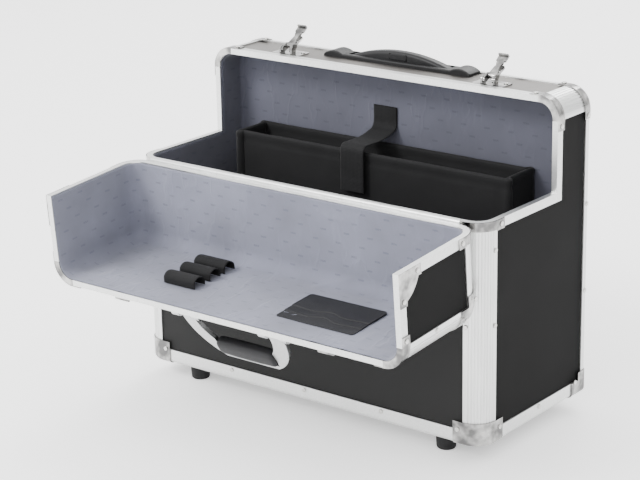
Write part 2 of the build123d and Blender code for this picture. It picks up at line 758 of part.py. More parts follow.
with BuildPart() as lid_rims:
    for side, hand in SIDES:
        edge = side * half
        into = side * -1
        with BuildSketch(Plane.YZ.offset(min(edge, edge + into * rim_width))):
            with BuildLine():
                Polyline(
                    (corner_leg, lid_low), (lid_rear, lid_low), (lid_rear, body_height - corner_leg),
                    (lid_rear - rim_leg, body_height - corner_leg), (lid_rear - rim_leg, lid_low + rim_leg),
                    (corner_leg, lid_low + rim_leg), close=True,
                )
            make_face()
        extrude(amount=rim_width)
        slab(
            (edge + into * metal, corner_leg - 1, lid_low + metal),
            (edge + into * inside, lid_rear - metal, body_height), Mode.SUBTRACT,
        )
    extrude(
        laid(rim_section, (corner_leg - half, lid_rear, body_height), FRONT, DOWN),
        amount=width - 2 * corner_leg,
    )
    with BuildSketch(Plane.XY.offset(lid_low)) as cap:
        Rectangle(width, corner_leg, align=(Align.CENTER, Align.MIN))
        fillet(cap.vertices().group_by(Axis.Y)[0], radius=corner_radius)
        with BuildSketch(mode=Mode.PRIVATE) as hollow:
            with Locations((0, rim_width)):
                Rectangle(width - 2 * rim_width, corner_leg, align=(Align.CENTER, Align.MIN))
            fillet(hollow.vertices().group_by(Axis.Y)[0], radius=corner_radius - rim_width)
        add(hollow.sketch, mode=Mode.SUBTRACT)
    extrude(amount=metal)
    extrude(laid(rim_section, (corner_leg - half, 0, lid_low), Z, Y), amount=-(width - 2 * corner_leg))
finish(lid_rims, "lid_rims", in_lid)

plate_arm = 36.0          # arm length of the flat corner plates on the lid's sides
with BuildPart() as lid_rim_corners:
    for corner, legs in (
        ((half, lid_rear, body_height), (LEFT, DOWN)), ((-half, lid_rear, body_height), (DOWN, X))
    ):
        extrude(
            laid(curved_strip(proud, rim_width, corner_leg - corner_radius), corner, *legs), amount=metal
        )
        extrude(laid(curved_strip(proud, 0, 12), corner, *legs), amount=rim_leg + 2)
    for side, hand in SIDES:
        with BuildSketch(Plane.YZ.offset(min(side * half, side * (half + proud)))):
            with BuildLine():
                Polyline(
                    (lid_rear, lid_low), (lid_rear - plate_arm, lid_low),
                    (lid_rear - plate_arm, lid_low + rim_leg + 1),
                    (lid_rear - plate_arm + 5, lid_low + rim_leg + 1),
                )
                RadiusArc(
                    (lid_rear - plate_arm + 5, lid_low + rim_leg + 1),
                    (lid_rear - rim_leg - 1, lid_low + plate_arm - 5), 40
                )
                Polyline(
                    (lid_rear - rim_leg - 1, lid_low + plate_arm - 5),
                    (lid_rear - rim_leg - 1, lid_low + plate_arm),
                    (lid_rear, lid_low + plate_arm), (lid_rear, lid_low),
                )
            make_face()
        extrude(amount=proud)
        slab(
            (side * half, corner_radius, lid_low),
            (side * (half + proud), corner_radius + side_arm, lid_low + rim_leg + 1),
        )
    for corner, legs in (((half, 0, lid_low), (Y, LEFT)), ((-half, 0, lid_low), (X, Y))):
        extrude(laid(curved_strip(proud, 0, corner_leg - corner_radius), corner, *legs), amount=rim_leg)
finish(lid_rim_corners, "lid_rim_corners", in_lid)

with BuildPart() as lid_cast_corners:
    lid_cap = cast_corner(corner_radius, corner_radius, 37, 37, corner_leg)
    add(Plane(origin=(-half, 0, body_height), x_dir=Y, z_dir=DOWN) * lid_cap)
    add(Plane(origin=(half, 0, body_height), x_dir=LEFT, z_dir=DOWN) * lid_cap)
finish(lid_cast_corners, "lid_cast_corners", in_lid)

# ---- inside of the lid ----
def lid_space(skin):
    """The space inside the shut lid, drawn in by the skin on every side that the lining covers."""
    face = lining_face + skin
    reach = 0 if skin == 0 else 10
    with BuildPart(mode=Mode.PRIVATE) as space:
        slab(
            (face - half, face, lid_low + 1 - reach),
            (half - face, lid_rear - 1 + reach, body_height - face),
        )
        rounded = space.edges().filter_by(Axis.Y).group_by(Axis.Z)[-1]
        rounded += space.edges().filter_by(Axis.Z).group_by(Axis.Y)[0]
        rounded += space.faces().sort_by(Axis.Y)[0].edges().group_by(Axis.Z)[-1]
        fillet(rounded, radius=corner_radius - face)
    return space.part


with BuildPart() as lid_lining:
    add(lid_space(0))
    add(lid_space(lining), mode=Mode.SUBTRACT)
finish(lid_lining, "lid_lining", in_lid)

loop_x = -92.0
loop_span = 45.0
loop_rise = 12.0
loop_rows = (38.0, 62.0, 88.0)
ceiling = body_height - lining_face - lining - 0.2
with BuildPart() as pen_loops:
    for row in loop_rows:
        with BuildSketch(Plane.YZ.offset(loop_x - loop_span / 2)):
            with BuildLine():
                Line((row - 9, ceiling), (row - 9, ceiling - 5))
                ThreePointArc((row - 9, ceiling - 5), (row, ceiling - loop_rise), (row + 9, ceiling - 5))
                Polyline(
                    (row + 9, ceiling - 5),
                    (row + 9, ceiling),
                    (row + 7.8, ceiling),
                    (row + 7.8, ceiling - 4.8),
                )
                ThreePointArc(
                    (row + 7.8, ceiling - 4.8), (row, ceiling - loop_rise + 1.2), (row - 7.8, ceiling - 4.8)
                )
                Polyline((row - 7.8, ceiling - 4.8), (row - 7.8, ceiling), (row - 9, ceiling))
            make_face()
        extrude(amount=loop_span)
finish(pen_loops, "pen_loops", in_lid)

with BuildPart() as card_pocket:
    slab((51, 46, ceiling - 2.0), (152, 108, ceiling))
    fillet(card_pocket.edges().filter_by(Axis.Z), radius=4)
finish(card_pocket, "card_pocket", in_lid)

# ---- latch strikes on the lid ----
with BuildPart() as latch_strikes:
    for side, hand in SIDES:
        centre = side * latch_x
        slab((centre - 10, 118, plate_top), (centre + 10, lid_rear - rim_leg, plate_top + 1.5))
        slab(
            (centre - 10, lid_rear - rim_leg - 2, body_height),
            (centre + 10, lid_rear - 1, body_height + 1.2),
        )
        slab((centre - 10, lid_rear - 3.2, body_height), (centre + 10, lid_rear - 1.4, body_height + 3.0))
finish(latch_strikes, "latch_strikes", in_lid)

# ---- carry handle on the lid ----
bracket_x = 60.0
handle_axis = (121.0, body_height + 6.5)
handle_tilt = 60.0        # how far the hanging handle stands off the lid
handle_reach = 66.0
lug_outer = 19.0
lug_inner = 9.5
with BuildPart() as handle_brackets:
    for side, hand in SIDES:
        centre = side * bracket_x
        slab((centre - 29, 114, plate_top), (centre + 29, 129.4, plate_top + 1.6))
        for end in (-1, 1):
            with BuildSketch(Plane.YZ.offset(centre + min(end * lug_inner, end * lug_outer))):
                with Locations(handle_axis):
                    Circle(6)
                with Locations((handle_axis[0], plate_top)):
                    Rectangle(12, handle_axis[1] - plate_top, align=(Align.CENTER, Align.MIN))
                with Locations(handle_axis):
                    Circle(2.45, mode=Mode.SUBTRACT)
            extrude(amount=lug_outer - lug_inner)
finish(handle_brackets, "handle_brackets", in_lid)

in_handle = in_lid * Location((0, handle_axis[0], handle_axis[1]), (-handle_tilt, 0, 0))
arm_thickness = 5.0
grip_near = 37.0
grip_far = 60.0
grip_end = 40.0
with BuildPart() as handle_frame:
    with BuildSketch(Plane.XY.offset(-arm_thickness / 2)):
        with BuildLine():
            Line((68.5, 4), (68.5, -6))
            ThreePointArc((68.5, -6), (61.5, -38), (36, -handle_reach))
            Line((36, -handle_reach), (-36, -handle_reach))
            ThreePointArc((-36, -handle_reach), (-61.5, -38), (-68.5, -6))
            Polyline((-68.5, -6), (-68.5, 4), (-51.5, 4), (-51.5, -6))
            ThreePointArc((-51.5, -6), (-48.5, -22), (-grip_end, -grip_near))
            Polyline(
                (-grip_end, -grip_near),
                (-grip_end, -grip_far),
                (grip_end, -grip_far),
                (grip_end, -grip_near),
            )
            ThreePointArc((grip_end, -grip_near), (48.5, -22), (51.5, -6))
            Polyline((51.5, -6), (51.5, 4), (68.5, 4))
        make_face()
    extrude(amount=arm_thickness)
    fillet(handle_frame.edges().filter_by(lambda e: e.length > 60), radius=1.2)
    for side, hand in SIDES:
        with Locations((side * bracket_x, 0, 0)):
            Cylinder(4.4, 2 * lug_inner - 0.8, rotation=(0, 90, 0))
            Cylinder(2.4, 2 * lug_outer - 1, rotation=(0, 90, 0))
finish(handle_frame, "handle_frame", in_handle)

with BuildPart() as handle_grip:
    slab((-grip_end + 0.1, -grip_far + 0.1, -7.5), (grip_end - 0.1, -grip_near, 7.5))
    fillet(handle_grip.edges().filter_by(Axis.X), radius=6.5)
finish(handle_grip, "handle_grip", in_handle)

# ---- rivets ----
with BuildPart() as rivet:
    Cylinder(2.7, 0.5, align=(Align.CENTER, Align.CENTER, Align.MIN))
    with Locations((0, 0, 0.5)):
        Cylinder(2.7, 0.7, align=(Align.CENTER, Align.CENTER, Align.MIN))
    fillet(rivet.faces().sort_by(Axis.Z)[-1].edges(), radius=0.65)


def rivet_row(points, outward):
    """Add a rivet head at every point, standing out along one direction."""
    for point in points:
        add(Plane(origin=point, z_dir=outward) * rivet.part)


seam = 12.6               # height of the rivet line on the bottom angles
cap_seam = 31.0           # how far along a cast corner's arm its rivet sits
with BuildPart() as body_rivets:
    row = (-160.0, -106.0, -53.0, 0.0, 53.0, 106.0, 160.0)
    rivet_row([(x, 0, seam) for x in row[1:-1:2]], FRONT)
    rivet_row([(x, depth, seam) for x in row[1:-1:2]], Y)
    rivet_row([(side * (half - cap_seam), -proud, 17) for side, hand in SIDES], FRONT)
    rivet_row([(side * (half - 24), depth + proud, 17) for side, hand in SIDES], Y)
    for side, hand in SIDES:
        outward = X if side > 0 else LEFT
        edge = side * half
        rivet_row([(edge, 111, seam)], outward)
        rivet_row([(edge + side * proud, cap_seam, 17), (edge + side * proud, depth - 24, 17)], outward)
        rivet_row([(edge, depth - 5.2, z) for z in (120, 220)], outward)
        rivet_row([(edge + side * proud, 31, rim_height - 5.5)], outward)
        rivet_row([(edge, corner_leg - 3.2, z) for z in (133, 215)], outward)
        rivet_row([(edge - side * (corner_leg - 3.2), 0, z) for z in (133, 215)], FRONT)
        rivet_row([(edge + side * proud, step_depth + 6, body_height - 31)], outward)
        rivet_row([(edge + side * proud, depth - 7, body_height - 30)], outward)
        rivet_row([(edge - side * 31, step_depth + 6, body_height + proud)], Z)
        rivet_row([(edge - side * 30, depth - 7, body_height + proud)], Z)
        for x in (-15, 15):
            rivet_row([(side * latch_x + x, 167, plate_top + 1.5)], Z)
finish(body_rivets, "body_rivets")

with BuildPart() as lid_rivets:
    for side, hand in SIDES:
        outward = X if side > 0 else LEFT
        edge = side * half
        top_rows = (
            (edge + side * proud, cap_seam, body_height - 13),
            (edge + side * proud, 13, body_height - cap_seam),
        )
        rivet_row(top_rows, outward)
        rivet_row([(edge + side * proud, lid_rear - 6, body_height - 31)], outward)
        rivet_row([(edge + side * proud, lid_rear - 30, lid_low + 5.5)], outward)
        rivet_row([(edge + side * proud, lid_rear - 5.5, lid_low + 30)], outward)
        rivet_row([(edge + side * proud, 31, lid_low + 5.5)], outward)
        rivet_row([(edge, 80, body_height - corner_leg + 3.2)], outward)
        rivet_row([(edge - side * cap_seam, -proud, body_height - 13)], FRONT)
        rivet_row([(edge - side * 31, lid_rear - 6, body_height + proud)], Z)
        rivet_row([(side * bracket_x + x, 122, plate_top + 1.6) for x in (-24.5, 24.5)], Z)
        rivet_row([(side * latch_x + x, 122.5, plate_top + 1.5) for x in (-6, 6)], Z)
    rivet_row([(x, -leaf, lid_low + 6) for x in (-150, -50, 50, 150)], FRONT)
finish(lid_rivets, "lid_rivets", in_lid)
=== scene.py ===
"""Visual model of a lined aluminium case on wheels, standing open with its lid hanging in front."""

import logging
import math
from dataclasses import dataclass
from enum import Enum
from typing import Callable

import bpy
import numpy as np
from mathutils import Matrix, Vector


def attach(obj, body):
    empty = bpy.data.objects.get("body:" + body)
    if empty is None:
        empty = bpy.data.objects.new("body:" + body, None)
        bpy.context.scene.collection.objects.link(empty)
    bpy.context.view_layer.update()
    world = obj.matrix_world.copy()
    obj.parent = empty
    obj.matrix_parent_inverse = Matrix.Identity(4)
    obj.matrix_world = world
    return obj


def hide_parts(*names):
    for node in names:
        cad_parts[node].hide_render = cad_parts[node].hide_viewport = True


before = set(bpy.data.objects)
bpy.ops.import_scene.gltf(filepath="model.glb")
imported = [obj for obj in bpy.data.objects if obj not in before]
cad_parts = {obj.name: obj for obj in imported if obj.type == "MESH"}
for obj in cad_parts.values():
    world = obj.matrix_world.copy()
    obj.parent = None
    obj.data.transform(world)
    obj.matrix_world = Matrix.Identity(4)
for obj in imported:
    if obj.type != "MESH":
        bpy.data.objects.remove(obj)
log = logging.getLogger("case")

MM = 0.001
CASE_SHIFT = np.array([0.0, -36.93, 20.0])
HINGE = (-4.5, 247.2)
LID_SWING = 184.5
HANDLE_AXIS = (121.0, 356.5)
HANDLE_TILT = -60.0
Place = Callable[[np.ndarray], np.ndarray]


class Grain(Enum):
    """The direction that a drawn or brushed metal's fine lines run in."""

    X = (0.02, 1.0, 1.0)
    Y = (1.0, 0.02, 1.0)
    Z = (1.0, 1.0, 0.02)
    NONE = (1.0, 1.0, 1.0)


class Facing(Enum):
    """The two axes that a flat panel's pattern lies along."""

    FRONT = (0, 2)
    SIDE = (1, 2)
    FLAT = (0, 1)


# ---- places -------------------------------------------------------------------------------


def turn_about_x(points: np.ndarray, degrees: float, centre: tuple[float, float]) -> np.ndarray:
    """Turn points about a line along X through centre = (y, z).

    Args:
        points: an array whose last axis is x, y, z.
        degrees: the right-handed turn about +X.
        centre: y and z of the line.

    Returns:
        The turned points: y' = y cos a - z sin a and z' = y sin a + z cos a, from the centre.
    """
    angle = math.radians(degrees)
    y = points[..., 1] - centre[0]
    z = points[..., 2] - centre[1]
    turned = points.copy()
    turned[..., 1] = y * math.cos(angle) - z * math.sin(angle) + centre[0]
    turned[..., 2] = y * math.sin(angle) + z * math.cos(angle) + centre[1]
    return turned


def in_case(points: np.ndarray) -> np.ndarray:
    """Shut-case millimetres to metres in the row frame."""
    return (points + CASE_SHIFT) * MM


def in_lid(points: np.ndarray) -> np.ndarray:
    """Shut-case millimetres on the lid to the row frame, with the lid swung open."""
    return in_case(turn_about_x(points, LID_SWING, HINGE))


def in_handle(points: np.ndarray) -> np.ndarray:
    """Millimetres from the carry handle's own pivot line to the row frame."""
    raised = points + np.array([0.0, HANDLE_AXIS[0], HANDLE_AXIS[1]])
    return in_lid(turn_about_x(raised, HANDLE_TILT, HANDLE_AXIS))


# ---- number fields ------------------------------------------------------------------------


def value_noise(points: np.ndarray, cell: float, seed: int) -> np.ndarray:
    """Smooth random field from 0 to 1: random values on a lattice, blended by 3t^2 - 2t^3.

    Args:
        points: positions in millimetres, last axis x, y, z.
        cell: lattice spacing in millimetres.
        seed: the number that picks the lattice.

    Returns:
        One value for each point.
    """
    table = np.random.default_rng(seed).random((64, 64, 64))
    scaled = points / cell + 17.3
    base = np.floor(scaled).astype(int)
    part = scaled - base
    part = part * part * (3.0 - 2.0 * part)
    total = np.zeros(points.shape[:-1])
    for corner in np.ndindex(2, 2, 2):
        index = (base + np.array(corner)) % 64
        weight = np.prod(np.where(np.array(corner) == 1, part, 1.0 - part), axis=-1)
        total += weight * table[index[..., 0], index[..., 1], index[..., 2]]
    return total


def creases(points: np.ndarray, cell: float, sharpness: float, seed: int) -> np.ndarray:
    """Thin raised lines where a smooth field passes one half: (1 - |2n - 1|) to a high power.

    Args:
        points: positions in millimetres.
        cell: spacing of the field in millimetres.
        sharpness: the power, larger for thinner lines.
        seed: the number that picks the field.

    Returns:
        Line heights from 0 to 1, faded in and out by a second, wider field.
    """
    bent = points + 9.0 * (value_noise(points, cell * 0.7, seed + 5)[..., None] - 0.5)
    line = (1.0 - np.abs(2.0 * value_noise(bent, cell, seed) - 1.0)) ** sharpness
    return line * np.clip(2.6 * value_noise(points, cell * 1.9, seed + 9) - 0.8, 0.0, 1.0)


def steps(low: float, high: float, step: float) -> np.ndarray:
    """Evenly spaced values from low to high, no further apart than step."""
    return np.linspace(low, high, max(2, int(math.ceil(abs(high - low) / step)) + 1))


# ---- meshes -------------------------------------------------------------------------------


@dataclass
class Patch:
    """A grid of points with its cloth coordinates, both in millimetres."""

    points: np.ndarray
    cloth: np.ndarray

    def flipped(self) -> "Patch":
        """The same patch seen from its other side."""
        return Patch(self.points[::-1], self.cloth[::-1])


def grid_patch(first: np.ndarray, second: np.ndarray, shape: Callable) -> Patch:
    """Evaluate shape(u, v) -> points on the grid of two ranges, with u and v as cloth coordinates."""
    u, v = np.meshgrid(first, second, indexing="ij")
    return Patch(shape(u, v), np.stack([u, v], axis=-1))


def face_patch(axis: int, at: float, ranges: tuple, step: float, flip: bool) -> Patch:
    """A flat grid on one face of a box.

    Args:
        axis: the axis that the face stands across, 0 to 2.
        at: its place on that axis.
        ranges: (low, high) on each of the other two axes, in order.
        step: grid spacing.
        flip: True to face the other way.

    Returns:
        The patch.
    """
    others = [i for i in range(3) if i != axis]
    u, v = np.meshgrid(steps(*ranges[0], step), steps(*ranges[1], step), indexing="ij")
    points = np.zeros(u.shape + (3,))
    points[..., axis] = at
    points[..., others[0]] = u
    points[..., others[1]] = v
    patch = Patch(points, np.stack([u, v], axis=-1))
    return patch.flipped() if flip else patch


def soften(points: np.ndarray, low: np.ndarray, high: np.ndarray, radius: float) -> np.ndarray:
    """Round the edges of a box drawn as flat grids.

    Each point is measured from the nearest point of an inner box, low to high, and is drawn in
    to the radius wherever it stands further off than that.

    Args:
        points: points on the sharp box.
        low: the inner box's lowest corner.
        high: its highest corner.
        radius: the radius of the rounded edges.

    Returns:
        The rounded points.
    """
    nearest = np.clip(points, low, high)
    away = points - nearest
    distance = np.linalg.norm(away, axis=-1, keepdims=True)
    return nearest + away * np.minimum(1.0, radius / np.maximum(distance, 1e-9))


def vertex_normals(points: np.ndarray, quads: np.ndarray) -> np.ndarray:
    """Unit normals at the points: the sum of each quad's diagonals' cross product."""
    across = np.cross(points[quads[:, 2]] - points[quads[:, 0]], points[quads[:, 3]] - points[quads[:, 1]])
    total = np.zeros_like(points)
    for corner in range(4):
        np.add.at(total, quads[:, corner], across)
    return total / np.maximum(np.linalg.norm(total, axis=1, keepdims=True), 1e-12)


@dataclass
class Shape:
    """Welded quads with a cloth coordinate at each corner, in millimetres."""

    points: np.ndarray
    quads: np.ndarray
    cloth: np.ndarray

    @staticmethod
    def of(patches: list[Patch]) -> "Shape":
        """Weld patches into one shape wherever their points meet, to a thousandth of a millimetre."""
        points = np.concatenate([p.points.reshape(-1, 3) for p in patches])
        quads, cloth, start = [], [], 0
        for patch in patches:
            rows, columns = patch.points.shape[:2]
            index = np.arange(rows * columns).reshape(rows, columns) + start
            ring = (index[:-1, :-1], index[1:, :-1], index[1:, 1:], index[:-1, 1:])
            quads.append(np.stack(ring, axis=-1).reshape(-1, 4))
            cloth.append(patch.cloth.reshape(-1, 2))
            start += rows * columns
        all_quads = np.concatenate(quads)
        all_cloth = np.concatenate(cloth)[all_quads]
        keys = np.round(points * 1000).astype(np.int64)
        _, first, same = np.unique(keys, axis=0, return_index=True, return_inverse=True)
        merged = same.reshape(-1)[all_quads]
        edges = [merged[:, i] != merged[:, (i + 1) % 4] for i in range(4)]
        whole = edges[0] & edges[2] | edges[1] & edges[3]
        return Shape(points[first], merged[whole], all_cloth[whole])

    def moved(self, amount: np.ndarray) -> "Shape":
        """Move each point along its own normal by that many millimetres."""
        normals = vertex_normals(self.points, self.quads)
        return Shape(self.points + normals * amount[:, None], self.quads, self.cloth)

    def build(self, name: str, place: Place) -> bpy.types.Object:
        """Make the object, smooth shaded, with a UV map in metres of cloth.

        Args:
            name: the object's name.
            place: the function that puts millimetres into the row frame.

        Returns:
            The object, linked to the scene.
        """
        mesh = bpy.data.meshes.new(name)
        faces = [list(dict.fromkeys(face)) for face in self.quads.tolist()]
        mesh.from_pydata(place(self.points).tolist(), [], faces)
        uv = mesh.uv_layers.new(name="cloth")
        flat = []
        for face, corners in zip(self.quads.tolist(), (self.cloth * MM).tolist()):
            seen = dict(zip(reversed(face), reversed(corners)))
            flat.extend(value for key in dict.fromkeys(face) for value in seen[key])
        uv.data.foreach_set("uv", flat)
        mesh.polygons.foreach_set("use_smooth", [True] * len(mesh.polygons))
        mesh.update()
        piece = bpy.data.objects.new(name, mesh)
        bpy.context.scene.collection.objects.link(piece)
        return piece

    def area(self) -> float:
        """The surface's area in square metres: half the length of each quad's diagonals' product."""
        corner = self.points[self.quads]
        across = np.cross(corner[:, 2] - corner[:, 0], corner[:, 3] - corner[:, 1])
        return float(np.linalg.norm(across, axis=1).sum() / 2) * MM * MM


def thicken(piece: bpy.types.Object, thickness: float) -> None:
    """Give a cloth surface its thickness, in metres, behind the face that is seen."""
    wall = piece.modifiers.new("thickness", "SOLIDIFY")
    wall.thickness = thickness
    wall.offset = -1.0


# ---- finishes -----------------------------------------------------------------------------


def linear(red: float, green: float, blue: float) -> tuple[float, float, float, float]:
    """A colour given as screen values from 0 to 255, as the shader's linear numbers."""
    parts = [v / 255 for v in (red, green, blue)]
    curve = [v / 12.92 if v < 0.04045 else ((v + 0.055) / 1.055) ** 2.4 for v in parts]
    return (*curve, 1.0)


class Recipe:
    """A material's nodes, with short ways to add and join them."""

    def __init__(self, name: str) -> None:
        """Start a material that has only its surface shader."""
        self.material = bpy.data.materials.new(name)
        self.material.use_nodes = True
        self.tree = self.material.node_tree
        self.shader = self.tree.nodes["Principled BSDF"]

    def node(self, kind: str, **settings: object) -> bpy.types.Node:
        """Add a node; a setting is a property's name, or in_ and a socket's index."""
        made = self.tree.nodes.new(kind)
        for key, value in settings.items():
            if key.startswith("in_"):
                self.feed(made.inputs[int(key[3:])], value)
            else:
                setattr(made, key, value)
        return made

    def feed(self, socket: bpy.types.NodeSocket, value: object) -> None:
        """Link an output to a socket, or set the socket to a plain value."""
        if isinstance(value, bpy.types.NodeSocket):
            self.tree.links.new(value, socket)
        else:
            socket.default_value = value

    def math(self, operation: str, *values: object) -> bpy.types.NodeSocket:
        """One sum on sockets or numbers."""
        made = self.node("ShaderNodeMath", operation=operation)
        for socket, value in zip(made.inputs, values):
            self.feed(socket, value)
        return made.outputs[0]

    def position(self, scale: tuple[float, float, float] = (1.0, 1.0, 1.0)) -> bpy.types.NodeSocket:
        """Object coordinates, stretched."""
        where = self.node("ShaderNodeTexCoord").outputs["Object"]
        return self.node("ShaderNodeMapping", in_0=where, in_3=scale).outputs[0]

    def cloth(self) -> tuple[bpy.types.NodeSocket, bpy.types.NodeSocket]:
        """The two cloth coordinates, in metres."""
        layer = self.node("ShaderNodeUVMap", uv_map="cloth")
        made = self.node("ShaderNodeSeparateXYZ", in_0=layer.outputs[0])
        return made.outputs[0], made.outputs[1]

    def noise(self, where: object, scale: float, detail: float, kind: str = "FBM") -> bpy.types.NodeSocket:
        """A noise field at some coordinates."""
        made = self.node("ShaderNodeTexNoise", noise_type=kind)
        self.feed(made.inputs["Vector"], where)
        self.feed(made.inputs["Scale"], scale)
        self.feed(made.inputs["Detail"], detail)
        return made.outputs["Fac" if "Fac" in made.outputs else 0]

    def spread(
        self, value: object, low: float, high: float, out_low: float, out_high: float
    ) -> bpy.types.NodeSocket:
        """Map a range of values onto another."""
        ends = {"in_1": low, "in_2": high, "in_3": out_low, "in_4": out_high}
        return self.node("ShaderNodeMapRange", in_0=value, **ends).outputs[0]

    def mix(self, factor: object, first: object, second: object) -> bpy.types.NodeSocket:
        """Blend two colours."""
        made = self.node("ShaderNodeMix", data_type="RGBA", in_0=factor)
        self.feed(made.inputs[6], first)
        self.feed(made.inputs[7], second)
        return made.outputs[2]

    def bump(
        self, height: object, distance: float, strength: float = 1.0, under: object = None
    ) -> bpy.types.NodeSocket:
        """A bump of that height in metres, over another one if given."""
        made = self.node("ShaderNodeBump")
        self.feed(made.inputs["Height"], height)
        self.feed(made.inputs["Distance"], distance)
        self.feed(made.inputs["Strength"], strength)
        if under is not None:
            self.feed(made.inputs["Normal"], under)
        return made.outputs[0]

    def set(self, **values: object) -> None:
        """Feed the surface shader's sockets; an underscore stands for a space in a name."""
        for key, value in values.items():
            self.feed(self.shader.inputs[key.replace("_", " ")], value)


@dataclass(frozen=True)
class MetalFinish:
    """Bare or plated metal with drawn lines, faint smudges, small scuffs and, where asked, blotches of
    painted dark reflection.
    """

    name: str
    colour: tuple
    roughness: float
    grain: Grain = Grain.NONE
    grain_scale: float = 900.0
    grain_depth: float = 0.00002
    smudge: float = 0.08
    # The next two fields set the painted reflection: how strongly dark blotches are mixed in, and their
    # colour.
    painted_reflection: float = 0.0
    shade: tuple = linear(46, 46, 48)

    def material(self) -> bpy.types.Material:
        """Build the material."""
        mix = Recipe(self.name)
        lines = mix.noise(mix.position(self.grain.value), self.grain_scale, 3.0)
        cloud = mix.noise(mix.position(), 14.0, 4.0)
        scuff = mix.spread(mix.noise(mix.position(), 160.0, 6.0, "RIDGED_MULTIFRACTAL"), 1.2, 1.9, 0.0, 1.0)
        dark = tuple(0.84 * c for c in self.colour[:3]) + (1.0,)
        tone = mix.mix(mix.spread(lines, 0.3, 0.7, 0.0, 1.0), dark, self.colour)
        # Painted reflection: noise blotches pull the colour toward the dark shade, standing in for dark
        # surroundings mirrored in the polish.
        painted_reflection_mask = mix.spread(mix.noise(mix.position(), 62.0, 2.0), 0.36, 0.62, 0.0, self.painted_reflection)
        tone = mix.mix(painted_reflection_mask, tone, self.shade)
        clean, wear_and_highlight = self.roughness - self.smudge / 2, self.roughness + self.smudge
        rough = mix.math("ADD", mix.spread(cloud, 0.35, 0.65, clean, wear_and_highlight), mix.math("MULTIPLY", scuff, 0.06))
        mix.set(Base_Color=tone, Metallic=1.0, Roughness=rough, Normal=mix.bump(lines, self.grain_depth, 0.6))
        return mix.material


@dataclass(frozen=True)
class MouldedFinish:
    """Moulded plastic or rubber with a fine pebbled skin and dust-dulled patches."""

    name: str
    colour: tuple
    roughness: float
    pebble: float = 1800.0
    depth: float = 0.00008
    cells: bool = False

    def material(self) -> bpy.types.Material:
        """Build the material."""
        mix = Recipe(self.name)
        if self.cells:
            made = mix.node("ShaderNodeTexVoronoi", feature="DISTANCE_TO_EDGE")
            mix.feed(made.inputs["Vector"], mix.position())
            mix.feed(made.inputs["Scale"], self.pebble)
            skin = mix.spread(made.outputs["Distance"], 0.0, 0.25, 0.0, 1.0)
        else:
            skin = mix.noise(mix.position(), self.pebble, 2.0)
        cloud = mix.noise(mix.position(), 22.0, 4.0)
        pale = tuple(min(1.0, 1.7 * c + 0.006) for c in self.colour[:3]) + (1.0,)
        tone = mix.mix(mix.spread(cloud, 0.35, 0.75, 0.0, 0.6), self.colour, pale)
        rough = mix.spread(cloud, 0.3, 0.7, self.roughness - 0.05, self.roughness + 0.08)
        mix.set(Base_Color=tone, Roughness=rough, Specular_IOR_Level=0.22,
                Normal=mix.bump(skin, self.depth, 0.7))
        return mix.material


@dataclass(frozen=True)
class LaminateFinish:
    """Black laminate pressed with a fine field of raised diamonds, their tops painted paler as a painted
    highlight.
    """

    name: str
    facing: Facing
    colour: tuple = linear(20, 20, 20)
    pitch: float = 0.0023
    shine: float = 0.14

    def material(self) -> bpy.types.Material:
        """Build the material: height is the product of two sines along the panel's diagonals."""
        mix = Recipe(self.name)
        split = mix.node("ShaderNodeSeparateXYZ", in_0=mix.position())
        along, up = (split.outputs[i] for i in self.facing.value)
        turns = 2.0 * math.pi / self.pitch
        first = mix.math("SINE", mix.math("MULTIPLY", mix.math("ADD", along, up), turns))
        second = mix.math("SINE", mix.math("MULTIPLY", mix.math("SUBTRACT", along, up), turns))
        diamond = mix.spread(mix.math("MULTIPLY", first, second), -0.6, 0.6, 0.0, 1.0)
        cloud = mix.noise(mix.position(), 9.0, 5.0)
        pale = tuple(2.2 * c for c in self.colour[:3]) + (1.0,)
        # Painted highlight: the raised diamonds are painted paler than the sunken ones.
        highlit_diamonds = mix.mix(diamond, self.colour, pale)
        dusty = mix.mix(mix.spread(cloud, 0.45, 0.8, 0.0, 0.012), highlit_diamonds, linear(150, 148, 145))
        grain = mix.bump(mix.noise(mix.position(), 1500.0, 2.0), 0.00004, 0.5)
        rough = mix.spread(cloud, 0.3, 0.7, 0.42, 0.52)
        mix.set(Base_Color=dusty, Roughness=rough, Specular_IOR_Level=self.shine,
                Normal=mix.bump(diamond, 0.00018, 0.8, grain))
        return mix.material


